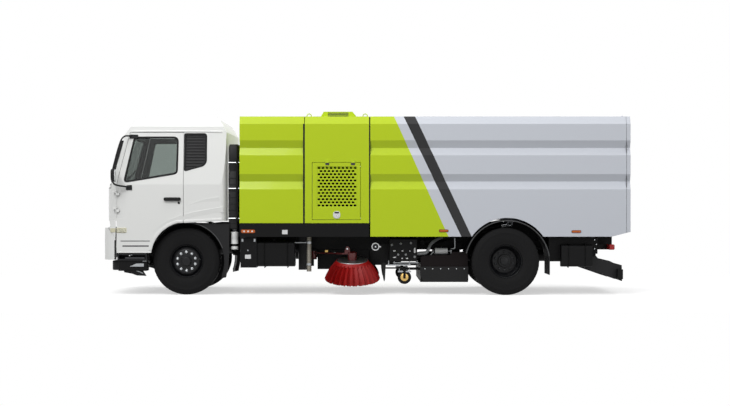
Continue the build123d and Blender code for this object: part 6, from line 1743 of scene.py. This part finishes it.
# ---- stage ----------------------------------------------------------------------------------------------------
@dataclass(frozen=True)
class Stage:
    """Pale floor, white surroundings, soft lamps and the camera."""

    eye: Point = (-0.023, -24.25, 1.44)
    lens: float = 72.8
    aim: Point = (0.0, 0.0, 1.2)
    sky: float = 0.95
    horizon: float = 0.35
    reach: float = 60.0
    # name, place, size in metres, watts
    lamps: tuple = (("key_softbox", (-7.0, -13.0, 13.0), 9.0, 1700.0), ("top_softbox", (2.0, -1.0, 12.0), 12.0, 430.0),
                    ("fill_softbox", (9.0, -12.0, 5.0), 7.0, 200.0))

    def build(self) -> None:
        """Sets the stage and the camera."""
        bpy.context.scene.view_settings.view_transform = "Standard"
        self.floor()
        self.world()
        for lamp in self.lamps:
            self.lamp(*lamp)
        self.camera()

    def floor(self) -> None:
        """A large pale floor under the tyres: white where it shows, with the truck's shadow, and grey as a bounce."""
        corners = [(x * self.reach, y * self.reach, -0.0005) for x, y in ((-1, -1), (1, -1), (1, 1), (-1, 1))]
        mesh = bpy.data.meshes.new("floor")
        mesh.from_pydata(corners, [], [[0, 1, 2, 3]])
        tree = Tree("pale studio floor, painted")
        shown = tree.shown()
        parts = tree.add("SeparateXYZ", "across the floor", {0: tree.place})
        side = tree.math("ABSOLUTE", "side", parts.outputs["Y"])
        away = tree.add("MapRange", "far from the truck", {0: side, 1: 1.6, 2: 5.0},
                        interpolation_type="SMOOTHSTEP").outputs[0]
        near = tree.mixed("lit paint near, even white far", away, (0.62, 0.62, 0.62, 1), (0.0, 0.0, 0.0, 1))
        glow = tree.math("MULTIPLY_ADD", "even white far", away, 0.46, 0.54)
        tree.set(Base_Color=tree.mixed("bounce", shown, (0.16, 0.16, 0.16, 1), near), Roughness=0.9,
                 Specular_IOR_Level=0.0, Emission_Color=(1.0, 1.0, 1.0, 1.0),
                 Emission_Strength=tree.math("MULTIPLY", "only where shown", glow, shown))
        mesh.materials.append(tree.material)
        self.put("floor", mesh)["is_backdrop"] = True

    def world(self) -> None:
        """White where it shows; as light, brighter overhead than at the horizon."""
        world = bpy.data.worlds.new("studio")
        world.use_nodes = True
        bpy.context.scene.world = world
        tree = Nodes(world.node_tree)
        ray = tree.add("TexCoord", "where the ray goes").outputs["Generated"]
        height = tree.add("SeparateXYZ", "upwards", {0: ray}).outputs["Z"]
        lift = tree.add("MapRange", "brighter overhead", {"Value": height, "To Min": self.sky * self.horizon,
                                                          "To Max": self.sky}).outputs[0]
        light = tree.add("Mix", "white where it shows", {0: tree.shown(), 2: lift, 3: 1.0}).outputs[0]
        back = tree.nodes["Background"].inputs
        tree.feed(back["Color"], (1.0, 1.0, 1.0, 1.0))
        tree.feed(back["Strength"], light)

    @staticmethod
    def put(name: str, data: bpy.types.ID) -> bpy.types.Object:
        """An object of the given data in the scene."""
        made = bpy.data.objects.new(name, data)
        bpy.context.scene.collection.objects.link(made)
        return made

    def lamp(self, name: str, at: Point, size: float, power: float) -> None:
        """A square area lamp aimed at the truck's middle."""
        data = bpy.data.lights.new(name, "AREA")
        data.energy, data.size = power, size
        lamp = self.put(name, data)
        lamp.location = at
        aim = np.array(self.aim) - np.array(at)
        lamp.rotation_euler = (math.acos(-aim[2] / np.linalg.norm(aim)), 0.0, math.atan2(-aim[0], aim[1]))
        lamp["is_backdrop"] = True

    def camera(self) -> None:
        """A long lens square on to the left side."""
        data = bpy.data.cameras.new("camera")
        data.lens, data.sensor_width = self.lens, 36.0
        camera = self.put("camera", data)
        camera.location = self.eye
        camera.rotation_euler = (math.pi / 2, 0.0, 0.0)
        bpy.context.scene.camera = camera


# ---- the truck ------------------------------------------------------------------------------------------------
def dress_nodes() -> None:
    """Gives every CAD node the finish of its slot."""
    slots = {part["node"]: part["material_slot"] for part in frame["record"]["subparts"]}
    for name, node in frame["nodes"].items():
        finish = NODE_FINISH.get(name) or SLOT_FINISH[slots[name]]
        if not node.material_slots:
            node.data.materials.append(None)
        for holder in node.material_slots:
            holder.material = finish.material()


def spans() -> list[list[float]]:
    """The shown truck's lowest and highest corners as plain numbers."""
    return [[float(value) for value in corner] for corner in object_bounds()]


def main() -> None:
    """Builds the looks piece by piece."""
    logging.basicConfig(level=logging.INFO, format="%(message)s")
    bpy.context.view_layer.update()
    dress_nodes()
    for side in Side:
        Wheel(side, FRONT_AXLE_X, twin=False).build()
        Wheel(side, REAR_AXLE_X, twin=True).build()
        Brush(side).build()
        Mirror(side).build()
        Seat(side).build()
        EngineFlap(side).build()
    for assembly in (Cab(), Body(), Nose(), Underbody(), Rear()):
        assembly.build()
    Stage().build()


if __name__ == "__main__":
    main()
